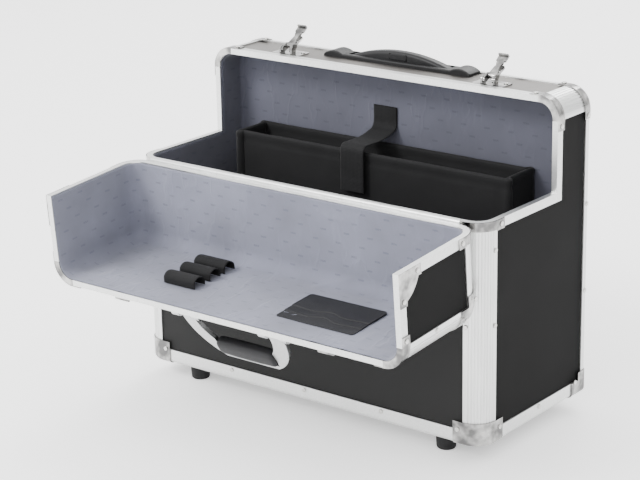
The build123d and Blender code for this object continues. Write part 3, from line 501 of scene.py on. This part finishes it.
@dataclass(frozen=True)
class LiningFinish:
    """Thin non-woven lining, printed with scattered short dashes and softly creased."""

    name: str
    colour: tuple = linear(106, 108, 122)
    mark: tuple = linear(72, 75, 92)
    column: float = 0.031
    row: float = 0.0125

    def material(self) -> bpy.types.Material:
        """Build the material: every other cell of a staggered brick grid holds one printed dash."""
        mix = Recipe(self.name)
        u, v = mix.cloth()
        line = mix.math("FLOOR", mix.math("DIVIDE", v, self.row))
        shifted = mix.math("ADD", mix.math("DIVIDE", u, self.column), mix.math("MULTIPLY", line, 0.37))
        in_u = mix.math("ABSOLUTE", mix.math("SUBTRACT", mix.math("FRACT", shifted), 0.5))
        across = mix.math("FRACT", mix.math("DIVIDE", v, self.row))
        in_v = mix.math("ABSOLUTE", mix.math("SUBTRACT", across, 0.5))
        inside = mix.math("MULTIPLY", mix.math("LESS_THAN", in_u, 0.12), mix.math("LESS_THAN", in_v, 0.09))
        joined = mix.node("ShaderNodeCombineXYZ", in_0=u, in_1=v)
        fibre = mix.noise(joined.outputs[0], 900.0, 3.0)
        broken = mix.math("MULTIPLY", inside, mix.spread(fibre, 0.35, 0.55, 0.2, 1.0))
        cloud = mix.noise(mix.position(), 11.0, 5.0)
        pale = tuple(min(1.0, 1.25 * c) for c in self.colour[:3]) + (1.0,)
        deep = tuple(0.8 * c for c in self.colour[:3]) + (1.0,)
        ground = mix.mix(mix.spread(cloud, 0.3, 0.7, 0.0, 1.0), deep, pale)
        ground = mix.mix(mix.spread(fibre, 0.35, 0.7, 0.0, 0.25), ground, deep)
        tone = mix.mix(mix.math("MULTIPLY", broken, 0.55), ground, self.mark)
        crease = mix.noise(mix.position((1.0, 1.4, 0.7)), 16.0, 3.0, "RIDGED_MULTIFRACTAL")
        wander = mix.noise(mix.position((1.0, 0.45, 0.45)), 34.0, 3.0)
        streak = mix.spread(mix.math("ABSOLUTE", mix.math("SUBTRACT", wander, 0.5)), 0.0, 0.045, 1.0, 0.0)
        patchy = mix.math("MULTIPLY", streak, mix.spread(cloud, 0.4, 0.6, 0.15, 1.0))
        tone = mix.mix(mix.math("MULTIPLY", patchy, 0.3), tone, pale)
        fold = mix.bump(patchy, 0.0006, 0.6)
        soft = mix.bump(mix.spread(crease, 0.6, 2.0, 0.0, 1.0), 0.003, 1.0, fold)
        mix.set(Base_Color=tone, Roughness=0.82, Sheen_Weight=0.25, Sheen_Roughness=0.5,
                Normal=mix.bump(fibre, 0.00009, 0.6, soft))
        return mix.material


@dataclass(frozen=True)
class WeaveFinish:
    """Woven or knitted black cloth: two sets of threads that rise and sink in turn, with the raised threads
    painted paler as a painted highlight.
    """

    name: str
    colour: tuple = linear(15, 15, 16)
    across: float = 0.0011
    along: float = 0.0011
    rib: float = 1.0
    depth: float = 0.00022

    def material(self) -> bpy.types.Material:
        """Build the material: height is |sin| across times |cos| along, in cloth coordinates."""
        mix = Recipe(self.name)
        u, v = mix.cloth()
        over = mix.math("ABSOLUTE", mix.math("SINE", mix.math("MULTIPLY", u, math.pi / self.across)))
        under = mix.math("ABSOLUTE", mix.math("COSINE", mix.math("MULTIPLY", v, math.pi / self.along)))
        weft = mix.math("MULTIPLY", over, self.rib)
        thread = mix.math("ADD", weft, mix.math("MULTIPLY", under, 2.0 - self.rib))
        height = mix.spread(thread, 0.3, 2.0, 0.0, 1.0)
        cloud = mix.noise(mix.position(), 30.0, 4.0)
        pale = tuple(2.0 * c + 0.004 for c in self.colour[:3]) + (1.0,)
        # Painted highlight: the raised threads are painted paler, more strongly in some patches than in
        # others.
        wear_and_highlight = mix.math("MULTIPLY", height, mix.spread(cloud, 0.3, 0.7, 0.35, 0.8))
        tone = mix.mix(wear_and_highlight, self.colour, pale)
        mix.set(Base_Color=tone, Roughness=0.78, Specular_IOR_Level=0.2,
                Sheen_Weight=0.05, Sheen_Roughness=0.4,
                Normal=mix.bump(height, self.depth, 0.8))
        return mix.material


SATIN = linear(226, 227, 226)
FINISHES: dict[str, object] = {
    "satin_x": MetalFinish("satin_aluminium_x", SATIN, 0.34, Grain.X),
    "satin_y": MetalFinish("satin_aluminium_y", SATIN, 0.34, Grain.Y),
    "satin_z": MetalFinish("satin_aluminium_z", SATIN, 0.34, Grain.Z),
    "satin": MetalFinish("satin_aluminium", SATIN, 0.33, Grain.NONE, 600.0),
    "plate": MetalFinish("brushed_top_plate", linear(112, 109, 106), 0.4, Grain.X, 1100.0, 0.00004),
    # Painted reflection: the castings are mottled with dark blotches that stand in for mirrored surroundings.
    "chrome": MetalFinish(
        "polished_castings", linear(190, 189, 187), 0.13, Grain.NONE, 220.0, 0.000012, painted_reflection=0.75
    ),
    "handle": MetalFinish("satin_handle", linear(214, 215, 216), 0.27, Grain.NONE, 500.0),
    "steel": MetalFinish("polished_steel", linear(206, 205, 202), 0.18, Grain.NONE, 400.0, 0.00001),
    "tube": MetalFinish("drawn_tube", linear(208, 209, 211), 0.24, Grain.Z, 1200.0),
    "rubber": MouldedFinish("black_rubber", linear(24, 24, 25), 0.66, 900.0, 0.0001),
    "tread": MouldedFinish("wheel_rubber", linear(38, 38, 39), 0.7, 500.0, 0.0002),
    "plastic": MouldedFinish("black_plastic", linear(22, 22, 23), 0.46, 2200.0, 0.00005),
    "board": MouldedFinish("lined_board", linear(150, 152, 165), 0.8, 1400.0, 0.0001),
    "leatherette": MouldedFinish("black_leatherette", linear(24, 24, 26), 0.5, 650.0, 0.0001, True),
    "panel_front": LaminateFinish("black_laminate_front", Facing.FRONT),
    # Painted shade: the side panels' copy is darker (13 against 20) and shines less than the front's, as if
    # the sides stood in shade.
    "panel_side": LaminateFinish("black_laminate_side_painted_shade", Facing.SIDE, linear(13, 13, 13), shine=0.03),
    "panel_flat": LaminateFinish("black_laminate_flat", Facing.FLAT),
    "lining": LiningFinish("lid_lining_fabric"),
    # Painted shade: the body's copy of the lining is darker than the lid's, as if its deep inside stood in
    # shade.
    "lining_painted_shade": LiningFinish("body_lining_fabric_painted_shade", linear(70, 71, 83), linear(46, 48, 60)),
    "pocket": WeaveFinish("pocket_cloth"),
    "webbing": WeaveFinish("hook_webbing", across=0.0019, along=0.0016, depth=0.0004),
    "elastic": WeaveFinish("ribbed_elastic", across=0.0014, along=0.0042, rib=1.7, depth=0.0003),
}


class Wardrobe:
    """Makes each finish once and puts it on pieces."""

    def __init__(self) -> None:
        """Start with nothing made."""
        self.made: dict[str, bpy.types.Material] = {}

    def dress(self, piece: bpy.types.Object, finish: str) -> None:
        """Give a piece one finish in place of any that it has."""
        if finish not in self.made:
            self.made[finish] = FINISHES[finish].material()
        piece.data.materials.clear()
        piece.data.materials.append(self.made[finish])

    def fit(self, piece: bpy.types.Object, finish: str, body: str, node: str, slot: str) -> None:
        """Dress a piece, put it on its body and hide the CAD node in its place.

        Args:
            piece: the finished object.
            finish: its name in FINISHES.
            body: the body that it rides on.
            node: the CAD node that it replaces.
            slot: the name of a material slot; not used.
        """
        self.dress(piece, finish)
        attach(piece, body)
        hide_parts(node)


HARD_NODES: dict[str, str] = {
    "bottom_panel": "panel_flat", "front_panel": "panel_front", "rear_panel": "panel_front",
    "side_panel_left": "panel_side", "side_panel_right": "panel_side", "top_plate": "plate",
    "front_corner_profile_left": "satin_z", "front_corner_profile_right": "satin_z",
    "rear_edge_profiles": "satin_z", "bottom_edge_profiles": "satin", "top_corner_profiles": "satin_y",
    "front_rim": "satin_x", "step_rims": "satin", "rim_corners": "chrome",
    "bottom_front_corners": "chrome", "bottom_rear_corners": "chrome", "top_rear_corners": "chrome",
    "hinge_body_leaf": "satin_x", "hinge_lid_leaf": "satin_x", "hinge_pin": "steel",
    "rubber_feet": "rubber", "wheel_housings": "plastic", "wheel_axles": "steel",
    "wheel_left": "tread", "wheel_right": "tread", "rear_divider": "board",
    "trolley_channels": "tube", "trolley_mid_tubes": "tube", "trolley_inner_tubes": "tube",
    "trolley_bezel": "plastic", "trolley_grip": "plastic", "trolley_button": "plastic",
    "latch_bases": "chrome", "latch_lever_left": "chrome", "latch_lever_right": "chrome",
    "latch_claw_left": "chrome", "latch_claw_right": "chrome", "latch_strikes": "chrome",
    "lid_top_panel": "panel_flat", "lid_front_panel": "panel_front",
    "lid_side_panel_left": "panel_side", "lid_side_panel_right": "panel_side",
    "lid_front_edge_profile": "satin_x", "lid_corner_profiles": "satin_z", "lid_side_profiles": "satin_y",
    "lid_rims": "satin", "lid_rim_corners": "chrome", "lid_cast_corners": "chrome",
    "handle_brackets": "handle", "handle_frame": "handle", "body_rivets": "steel", "lid_rivets": "steel",
}


# ---- sub-assemblies -----------------------------------------------------------------------


@dataclass
class HardShell:
    """Panels, profiles, castings and fittings that keep their own solids."""

    wardrobe: Wardrobe

    def dress(self) -> None:
        """Give every rigid node its finish."""
        for node, finish in HARD_NODES.items():
            self.wardrobe.dress(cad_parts[node], finish)
        log.info("hard shell: %d nodes dressed", len(HARD_NODES))


@dataclass
class BodyLining:
    """Cloth glued inside the body, with its softly creased walls, and the loose lined floor board."""

    wardrobe: Wardrobe
    half: float = 230.0
    front: float = 7.5
    rear: float = 178.0
    low: float = 6.0
    rim: float = 245.5
    step: float = 142.0
    top: float = 342.5
    radius: float = 16.5
    grid: float = 4.0
    crease: float = 0.45

    def patches(self) -> list[Patch]:
        """The floor, front, rear, both L-shaped sides and the ceiling, all facing inwards."""
        wide = (-self.half, self.half)
        fore, aft = (self.front, self.step), (self.step, self.rear)
        below, above = (self.low, self.rim), (self.rim, self.top)
        found = [
            face_patch(2, self.low, (wide, fore), self.grid, False),
            face_patch(2, self.low, (wide, aft), self.grid, False),
            face_patch(1, self.front, (wide, below), self.grid, True),
            face_patch(1, self.rear, (wide, below), self.grid, False),
            face_patch(1, self.rear, (wide, above), self.grid, False),
            face_patch(2, self.top, (wide, aft), self.grid, True),
        ]
        for side in (-1, 1):
            for window in ((fore, below), (aft, below), (aft, above)):
                found.append(face_patch(0, side * self.half, window, self.grid, side > 0))
        return found

    def build(self) -> None:
        """Make the lining and the floor board."""
        inner_low = np.array([self.radius - self.half, self.front + self.radius, self.low])
        inner_high = np.array([self.half - self.radius, self.rear, self.top - self.radius])
        patches = [
            Patch(soften(p.points, inner_low, inner_high, self.radius), p.cloth)
            for p in self.patches()
        ]
        shape = Shape.of(patches)
        shape = shape.moved(self.crease * creases(shape.points, 46.0, 7.0, 3))
        lining = shape.build("body_lining_cloth", in_case)
        thicken(lining, 0.0004)
        # The body's cloth and floor board take the darker copy of the lining: painted shade.
        self.wardrobe.fit(lining, "lining_painted_shade", "case", "body_lining", "lining_fabric")
        deep, tall = self.rear - self.front, self.top - self.low
        flat = ((2 * self.half + 2 * tall) * MM, (deep + tall + self.rim) * MM)
        cut = min(shape.area(), flat[0] * flat[1])
        log.info("body lining: %d faces", len(shape.quads))
        board = rounded_slab((-229.0, 8.6, 6.7), (229.0, 177.2, 9.4), 1.3, 3.5, 15.0)
        board = board.moved(0.12 * creases(board.points, 30.0, 5.0, 8))
        piece = board.build("floor_board_cloth", in_case)
        self.wardrobe.fit(piece, "lining_painted_shade", "case", "floor_board", "lining_fabric")
        log.info("floor board: %d faces", len(board.quads))


def rounded_slab(low: tuple, high: tuple, radius: float, grid: float, corner: float = 0.0) -> Shape:
    """A closed board with rounded edges and, if asked, rounded front corners.

    Args:
        low: its lowest corner in millimetres.
        high: its highest corner.
        radius: the edges' radius.
        grid: the spacing of its grid.
        corner: the radius of its two front upright corners.

    Returns:
        The welded shape, facing outwards.
    """
    bottom, top = np.array(low, float), np.array(high, float)
    patches = []
    for axis in range(3):
        others = [i for i in range(3) if i != axis]
        ranges = tuple((low[i], high[i]) for i in others)
        outward = axis != 1
        patches.append(face_patch(axis, low[axis], ranges, grid, outward))
        patches.append(face_patch(axis, high[axis], ranges, grid, not outward))
    softened = []
    for patch in patches:
        points = soften(patch.points, bottom + radius, top - radius, radius)
        if corner > 0:
            inner_low = np.array([low[0] + corner, low[1] + corner, low[2] - 9])
            inner_high = np.array([high[0] - corner, high[1] + 9, high[2] + 9])
            points = soften(points, inner_low, inner_high, corner)
        softened.append(Patch(points, patch.cloth))
    return Shape.of(softened)


@dataclass
class LidLining:
    """One softly creased sheet over the inside of the lid's top, front and sides."""

    wardrobe: Wardrobe
    half: float = 230.0
    front: float = 7.5
    rear: float = 139.0
    low: float = 248.6
    top: float = 342.5
    radius: float = 16.5
    grid: float = 2.6
    crease: float = 1.0

    def build(self) -> None:
        """Make the sheet in the shut case's place and swing it out with the lid."""
        wide, deep, tall = (-self.half, self.half), (self.front, self.rear), (self.low, self.top)
        patches = [
            face_patch(2, self.top, (wide, deep), self.grid, True),
            face_patch(1, self.front, (wide, tall), self.grid, True),
            face_patch(0, -self.half, (deep, tall), self.grid, False),
            face_patch(0, self.half, (deep, tall), self.grid, True),
        ]
        inner_low = np.array([self.radius - self.half, self.front + self.radius, self.low])
        inner_high = np.array([self.half - self.radius, self.rear, self.top - self.radius])
        rounded = [
            Patch(soften(p.points, inner_low, inner_high, self.radius), p.cloth)
            for p in patches
        ]
        shape = Shape.of(rounded)
        wave = 0.3 * value_noise(shape.points, 60.0, 21) - 0.15
        shape = shape.moved(wave + self.crease * creases(shape.points, 38.0, 8.0, 12))
        lining = shape.build("lid_lining_cloth", in_lid)
        thicken(lining, 0.0004)
        self.wardrobe.fit(lining, "lining", "lid", "lid_lining", "lining_fabric")
        height, length = self.top - self.low, self.rear - self.front
        flat = ((2 * self.half + 2 * height) * MM, (length + height) * MM)
        cut = min(shape.area(), flat[0] * flat[1])
        log.info("lid lining: %d faces", len(shape.quads))


def along_path(corners: list[tuple], radius: float, step: float) -> np.ndarray:
    """A line through corners with each corner rounded, resampled to even steps.

    The corner's arc is drawn as a quadratic curve between points one radius before and after it.

    Args:
        corners: the corner points, (y, z) in millimetres.
        radius: how far from a corner its curve starts.
        step: the spacing of the points.

    Returns:
        An n by 2 array of points.
    """
    points = np.array(corners, float)
    line = [points[0]]
    t = np.linspace(0, 1, 12)[:, None]
    for before, here, after in zip(points, points[1:], points[2:]):
        start = here + (before - here) / np.linalg.norm(before - here) * radius
        end = here + (after - here) / np.linalg.norm(after - here) * radius
        line.extend((1 - t) ** 2 * start + 2 * t * (1 - t) * here + t**2 * end)
    line.append(points[-1])
    line = np.array(line)
    run = np.concatenate([[0], np.cumsum(np.linalg.norm(np.diff(line, axis=0), axis=1))])
    even = steps(0, run[-1], step)
    return np.stack([np.interp(even, run, line[:, i]) for i in range(2)], axis=1)


def band(path: np.ndarray, centre: float, width: float, thickness: float, hems: bool) -> tuple[Shape, float]:
    """A flat strap of webbing carried along a path in the Y-Z plane.

    The section is a flat loop with rounded edges, whose half thickness follows the square root
    of a falling curve at the selvedges; each end is doubled over where it is hemmed.

    Args:
        path: n by 2 points (y, z).
        centre: the strap's middle on X.
        width: its width.
        thickness: its thickness.
        hems: True to thicken both ends.

    Returns:
        The closed shape and the strap's length, both in millimetres.
    """
    tangent = np.gradient(path, axis=0)
    tangent /= np.linalg.norm(tangent, axis=1, keepdims=True)
    normal = np.stack([-tangent[:, 1], tangent[:, 0]], axis=1)
    run = np.concatenate([[0], np.cumsum(np.linalg.norm(np.diff(path, axis=0), axis=1))])
    across = np.linspace(-1, 1, 25)
    edge = np.sqrt(np.clip(1 - np.abs(across) ** 10, 0, 1))
    ring_x = np.concatenate([across, across[-2:0:-1], across[:1]]) * width / 2
    ring_t = np.concatenate([edge, -edge[-2:0:-1], edge[:1]]) * thickness / 2
    around = np.concatenate([[0], np.cumsum(np.hypot(np.diff(ring_x), np.diff(ring_t)))])
    swell = np.ones(len(path))
    if hems:
        swell += 0.5 / (1 + np.exp((run - 14) / 0.8)) + 0.5 / (1 + np.exp((run[-1] - 14 - run) / 0.8))
    offset = ring_t[None, :] * swell[:, None]
    points = np.zeros((len(path), len(ring_x), 3))
    points[..., 0] = centre + ring_x[None, :]
    points[..., 1] = path[:, :1] + normal[:, :1] * offset
    points[..., 2] = path[:, 1:] + normal[:, 1:] * offset
    cloth = np.stack(np.broadcast_arrays(around[None, :], run[:, None]), axis=-1)
    sides = Patch(points, cloth)
    ends = []
    for index, flip in ((0, True), (-1, False)):
        upper = points[index, : len(across)]
        lower = np.concatenate([points[index, len(across) - 1 :][:-1], points[index, :1]])
        lower = lower[: len(across)][::-1]
        cap = Patch(np.stack([upper, lower]), np.stack([upper[:, [0, 1]], lower[:, [0, 1]]]))
        ends.append(cap.flipped() if flip else cap)
    return Shape.of([sides] + ends), float(run[-1])


@dataclass
class LaptopPocket:
    """A padded black pocket on the body's rear wall, and the strap that closes over it."""

    wardrobe: Wardrobe
    half: float = 192.8
    front: float = 113.2
    rear: float = 177.4
    low: float = 9.8
    top: float = 259.8
    wall: float = 6.0
    corner: float = 8.0
    strap_x: float = -14.0
    strap_width: float = 33.0
    strap_thickness: float = 1.5

    def plan(self) -> np.ndarray:
        """The middle line of the four walls, a rounded rectangle walked anticlockwise from the rear."""
        inset = self.wall / 2
        r = self.corner - inset
        x, y0, y1 = self.half - inset, self.front + inset, self.rear - inset
        corners = [(x - r, y1 - r, 90), (r - x, y1 - r, 180), (r - x, y0 + r, 270), (x - r, y0 + r, 360)]
        line = []
        for index, (cx, cy, end) in enumerate(corners):
            angle = np.radians(np.linspace(end, end + 90, 9))
            line.append(np.stack([cx + r * np.cos(angle), cy + r * np.sin(angle)], axis=1))
        order = np.concatenate(line)
        closed = np.concatenate([order, order[:1]])
        run = np.concatenate([[0], np.cumsum(np.linalg.norm(np.diff(closed, axis=0), axis=1))])
        even = np.unique(np.concatenate([run, steps(0, run[-1], 4.0)]))
        return np.stack([np.interp(even, run, closed[:, i]) for i in range(2)], axis=1)

    def section(self) -> np.ndarray:
        """The wall's section as a closed loop of (offset, height) about its middle line."""
        half = self.wall / 2
        rise = steps(self.low + half, self.top - half, 3.6)
        turn = np.linspace(0, np.pi, 9)
        over = np.stack([half * np.cos(turn), self.top - half + half * np.sin(turn)], axis=1)
        under = np.stack([half * np.cos(turn + np.pi), self.low + half + half * np.sin(turn + np.pi)], axis=1)
        outer = np.stack([np.full(len(rise), half), rise], axis=1)
        inner = np.stack([np.full(len(rise), -half), rise[::-1]], axis=1)
        return np.concatenate([outer, over[1:-1], inner, under[1:-1], outer[:1]])

    def walls(self) -> Shape:
        """Carry the section round the plan; the padding sinks at the seams by a bell-shaped dip."""
        line, ring = self.plan(), self.section()
        tangent = np.gradient(line, axis=0)
        tangent[0] = tangent[-1] = line[1] - line[-2]
        tangent /= np.linalg.norm(tangent, axis=1, keepdims=True)
        outward = np.stack([tangent[:, 1], -tangent[:, 0]], axis=1)
        run = np.concatenate([[0], np.cumsum(np.linalg.norm(np.diff(line, axis=0), axis=1))])
        around = np.concatenate([[0], np.cumsum(np.linalg.norm(np.diff(ring, axis=0), axis=1))])
        rise = ring[None, :, 1]
        seam = np.exp(-(((rise - self.top + 11) / 1.8) ** 2)) * 1.1
        sides = np.minimum(np.abs(np.abs(line[:, 0]) - self.half + 13), 60)[:, None]
        seam = seam + np.exp(-((sides / 3.0) ** 2)) * 0.9 * (rise < self.top - 11)
        puff = 1.0 - np.clip(seam, 0, 1.3) / (self.wall / 2)
        offset = ring[None, :, 0] * puff
        points = np.zeros((len(line), len(ring), 3))
        points[..., 0] = line[:, :1] + outward[:, :1] * offset
        points[..., 1] = line[:, 1:] + outward[:, 1:] * offset
        points[..., 2] = rise
        points[-1] = points[0]
        cloth = np.stack(np.broadcast_arrays(run[:, None], around[None, :]), axis=-1)
        shape = Shape.of([Patch(points, cloth)])
        folds = -0.5 * creases(shape.points, 34.0, 5.0, 31)
        return shape.moved(folds - 0.3 * value_noise(shape.points, 14.0, 33))

    def build(self) -> None:
        """Make the walls, the padded bottom and the strap."""
        walls = self.walls()
        inset = self.wall - 0.4
        base = rounded_slab((inset - self.half, self.front + inset, self.low + 0.3),
                            (self.half - inset, self.rear - inset, self.low + self.wall), 2.6, 4.0)
        base = base.moved(-0.4 * value_noise(base.points, 25.0, 37))
        shift = len(walls.points)
        whole = Shape(
            np.concatenate([walls.points, base.points]),
            np.concatenate([walls.quads, base.quads + shift]),
            np.concatenate([walls.cloth, base.cloth]),
        )
        pocket = whole.build("laptop_pocket_padding", in_case)
        self.wardrobe.fit(pocket, "pocket", "case", "laptop_pocket", "black_fabric")
        log.info("laptop pocket: %d faces", len(whole.quads))
        path = along_path([(176.6, 300), (176.6, 274), (150, 267.5), (111.9, 268), (111.9, 214)], 9.0, 1.0)
        shape, length = band(path, self.strap_x, self.strap_width, self.strap_thickness, True)
        strap = shape.build("laptop_strap_webbing", in_case)
        self.wardrobe.fit(strap, "webbing", "case", "laptop_strap", "black_webbing")
        log.info("strap: %.0f mm long", length)


@dataclass
class LidFittings:
    """Three elastic pen loops and a flat two-slot card pocket on the lid's lining."""

    wardrobe: Wardrobe
    ceiling: float = 341.8
    loop_x: float = -92.0
    loop_span: float = 45.0
    rows: tuple = (38.0, 62.0, 88.0)

    def loops(self) -> None:
        """Make the loops: each is a band over an arch with its two feet on the lining."""
        reach, rise, foot = 8.4, 6.4, self.ceiling - 0.2
        turn = np.radians(np.linspace(0, 180, 13))
        for number, row in enumerate(self.rows, start=1):
            arch = [(row - reach * math.cos(a), self.ceiling - 5 - rise * math.sin(a)) for a in turn]
            path = along_path([(row - reach, foot), *arch, (row + reach, foot)], 0.6, 0.8)
            shape, length = band(path, self.loop_x, self.loop_span, 1.15, False)
            loop = shape.build(f"pen_loop_{number}_elastic", in_lid)
            self.wardrobe.dress(loop, "elastic")
            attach(loop, "lid")
        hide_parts("pen_loops")

    def card_pocket(self) -> None:
        """Make the card pocket as one raised surface: three layers, each with a dipped thumb edge."""
        left, right, back, front, thick = 51.0, 152.0, 46.0, 108.0, 1.9

        def surface(u: np.ndarray, v: np.ndarray) -> np.ndarray:
            """Height is the sum of smooth steps at each layer's edge, less a row of stitches."""
            dip = 7.5 * np.exp(-(((u - 50) / 13) ** 2)) - 2.0 * np.cos(np.pi * (u - 50) / 50)
            height = np.full(u.shape, 0.3)
            for edge in (35.0, 48.0):
                height += 0.7 / (1 + np.exp((v - edge + dip) / 0.14))
            border = np.minimum(np.minimum(u, 101 - u), np.minimum(v, 62 - v))
            height += 0.12 * np.clip(1 - border / 2.2, 0, 1)
            stitch = (np.abs(border - 2.6) < 0.3) * (np.sin((u + v) * 2.2) > -0.2)
            height += 0.08 * np.sin(u / 9) * np.sin(v / 11) - 0.16 * stitch
            return np.stack([left + u, back + v, self.ceiling - np.clip(height, 0.1, thick)], axis=-1)

        top = grid_patch(steps(0, 101, 0.5), steps(0, 62, 0.5), surface)
        inner_low = np.array([left + 4, back + 4, 0.0])
        inner_high = np.array([right - 4, front - 4, 400.0])
        rounded = soften(top.points, inner_low, inner_high, 4.0)
        patches = [Patch(rounded, top.cloth).flipped()]
        for edge in (rounded[0], rounded[-1][::-1], rounded[:, 0][::-1], rounded[:, -1]):
            foot = edge.copy()
            foot[:, 2] = self.ceiling - 0.05
            patches.append(Patch(np.stack([edge, foot]), np.stack([edge[:, :2], foot[:, :2] + 1.0])))
        pocket = Shape.of(patches).build("card_pocket_leatherette", in_lid)
        self.wardrobe.fit(pocket, "leatherette", "lid", "card_pocket", "black_fabric")
        log.info("card pocket: 101 by 62 mm")


@dataclass
class CarryGrip:
    """The padded grip of the carry handle."""

    wardrobe: Wardrobe
    half: float = 39.9
    near: float = 37.1
    far: float = 59.9
    thick: float = 7.4

    def build(self) -> None:
        """Carry a squarish oval along X; it swells to the middle and tucks in round at both ends."""
        reach = np.sin(np.linspace(-np.pi / 2, np.pi / 2, 61))
        angle = np.linspace(0, 2 * np.pi, 73)
        u, v = np.meshgrid(reach, angle, indexing="ij")
        tuck = np.clip(1 - np.abs(u) ** 26, 0, 1) ** 0.5
        size = (0.94 + 0.06 * np.cos(u * np.pi / 2)) * np.maximum(tuck, 0.02)
        power = 2 / 3.2
        across = np.sign(np.cos(v)) * np.abs(np.cos(v)) ** power
        through = np.sign(np.sin(v)) * np.abs(np.sin(v)) ** power
        seam = 1 - 0.05 * np.exp(-(((v - np.pi) / 0.07) ** 2))
        points = np.zeros(u.shape + (3,))
        points[..., 0] = self.half * u
        points[..., 1] = -(self.near + self.far) / 2 + across * size * seam * (self.far - self.near) / 2
        points[..., 2] = through * size * self.thick
        points[:, -1] = points[:, 0]
        cloth = np.stack([u * self.half, v * 10.0], axis=-1)
        ends = []
        for index, flip in ((0, False), (-1, True)):
            ring = points[index]
            hub = np.repeat(ring.mean(axis=0)[None, :], len(ring), axis=0)
            cap = Patch(np.stack([ring, hub]), np.stack([cloth[index], cloth[index] + 1.0]))
            ends.append(cap.flipped() if flip else cap)
        shape = Shape.of([Patch(points, cloth).flipped()] + ends)
        shape = shape.moved(-0.25 * value_noise(shape.points, 11.0, 51))
        grip = shape.build("carry_grip_padding", in_handle)
        self.wardrobe.fit(grip, "leatherette", "carry_handle", "handle_grip", "black_rubber")
        log.info("carry grip: %d faces", len(shape.quads))


# ---- studio -------------------------------------------------------------------------------


@dataclass
class Studio:
    """The pale floor, soft lights and the camera."""

    camera_at: tuple = (1.2906, -1.6403, 0.8693)
    azimuth: float = 38.254
    elevation: float = 17.812
    roll: float = -1.094
    focal_widths: float = 1985.2 / 640.0
    floor_glow: float = 0.6
    surround_strength: float = 2.3

    def floor(self) -> None:
        """A wide, flat, pale floor with a faint glow of its own."""
        bpy.ops.mesh.primitive_plane_add(size=30)
        ground = bpy.context.object
        ground.name = "studio_floor"
        mix = Recipe("studio_floor")
        pale, white = (0.93, 0.93, 0.93, 1.0), (1.0, 1.0, 1.0, 1.0)
        mix.set(Base_Color=pale, Roughness=0.9, Emission_Color=white, Emission_Strength=self.floor_glow)
        ground.data.materials.append(mix.material)

    def light(self, name: str, at: tuple, size: float, power: float) -> None:
        """One soft square light aimed at the case."""
        data = bpy.data.lights.new(name, "AREA")
        data.size = size
        data.energy = power
        lamp = bpy.data.objects.new(name, data)
        lamp.location = at
        lamp.rotation_euler = (Vector((0, 0, 0.2)) - Vector(at)).to_track_quat("-Z", "Y").to_euler()
        bpy.context.scene.collection.objects.link(lamp)

    def sky(self) -> None:
        """A white surround with a dark patch low on the right for polished metal to mirror."""
        world = bpy.data.worlds.new("surround")
        world.use_nodes = True
        nodes, links = world.node_tree.nodes, world.node_tree.links
        split = nodes.new("ShaderNodeSeparateXYZ")
        side = nodes.new("ShaderNodeMapRange")
        above = nodes.new("ShaderNodeMapRange")
        brighter = nodes.new("ShaderNodeMath")
        brighter.operation = "MAXIMUM"
        links.new(nodes.new("ShaderNodeTexCoord").outputs["Generated"], split.inputs[0])
        for made, axis, values in ((side, 0, (0.45, 0.75, 1.0, 0.06)), (above, 2, (0.3, 0.5, 0.06, 1.0))):
            links.new(split.outputs[axis], made.inputs[0])
            for socket, value in zip(made.inputs[1:5], values):
                socket.default_value = value
            links.new(made.outputs[0], brighter.inputs[axis // 2])
        links.new(brighter.outputs[0], nodes["Background"].inputs[0])
        nodes["Background"].inputs[1].default_value = self.surround_strength
        bpy.context.scene.world = world

    def camera(self) -> None:
        """Place the camera; the view runs from its azimuth and elevation, rolled about itself."""
        data = bpy.data.cameras.new("view")
        data.sensor_width = 36.0
        data.lens = 36.0 * self.focal_widths
        data.clip_end = 50.0
        data.dof.use_dof = False
        turn = Matrix.Rotation(math.radians(self.azimuth), 4, "Z")
        tip = Matrix.Rotation(math.radians(90 - self.elevation), 4, "X")
        spin = Matrix.Rotation(math.radians(self.roll), 4, "Z")
        view = bpy.data.objects.new("view", data)
        view.matrix_world = Matrix.Translation(self.camera_at) @ turn @ tip @ spin
        bpy.context.scene.collection.objects.link(view)
        bpy.context.scene.camera = view

    def build(self) -> None:
        """Set up the whole studio."""
        self.floor()
        self.sky()
        self.light("key", (-1.4, -2.4, 2.6), 1.2, 120.0)
        self.light("fill", (1.2, -3.0, 1.4), 1.0, 8.0)
        self.light("back", (-0.6, 2.6, 2.8), 1.6, 90.0)
        self.camera()
        log.info("studio ready")


def main() -> None:
    """Dress the hard shell, build each soft piece, set up the studio and note the sizes."""
    logging.basicConfig(level=logging.INFO, format="%(message)s")
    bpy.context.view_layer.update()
    wardrobe = Wardrobe()
    HardShell(wardrobe).dress()
    BodyLining(wardrobe).build()
    LidLining(wardrobe).build()
    LaptopPocket(wardrobe).build()
    fittings = LidFittings(wardrobe)
    fittings.loops()
    fittings.card_pocket()
    CarryGrip(wardrobe).build()
    Studio().build()


if __name__ == "__main__":
    main()
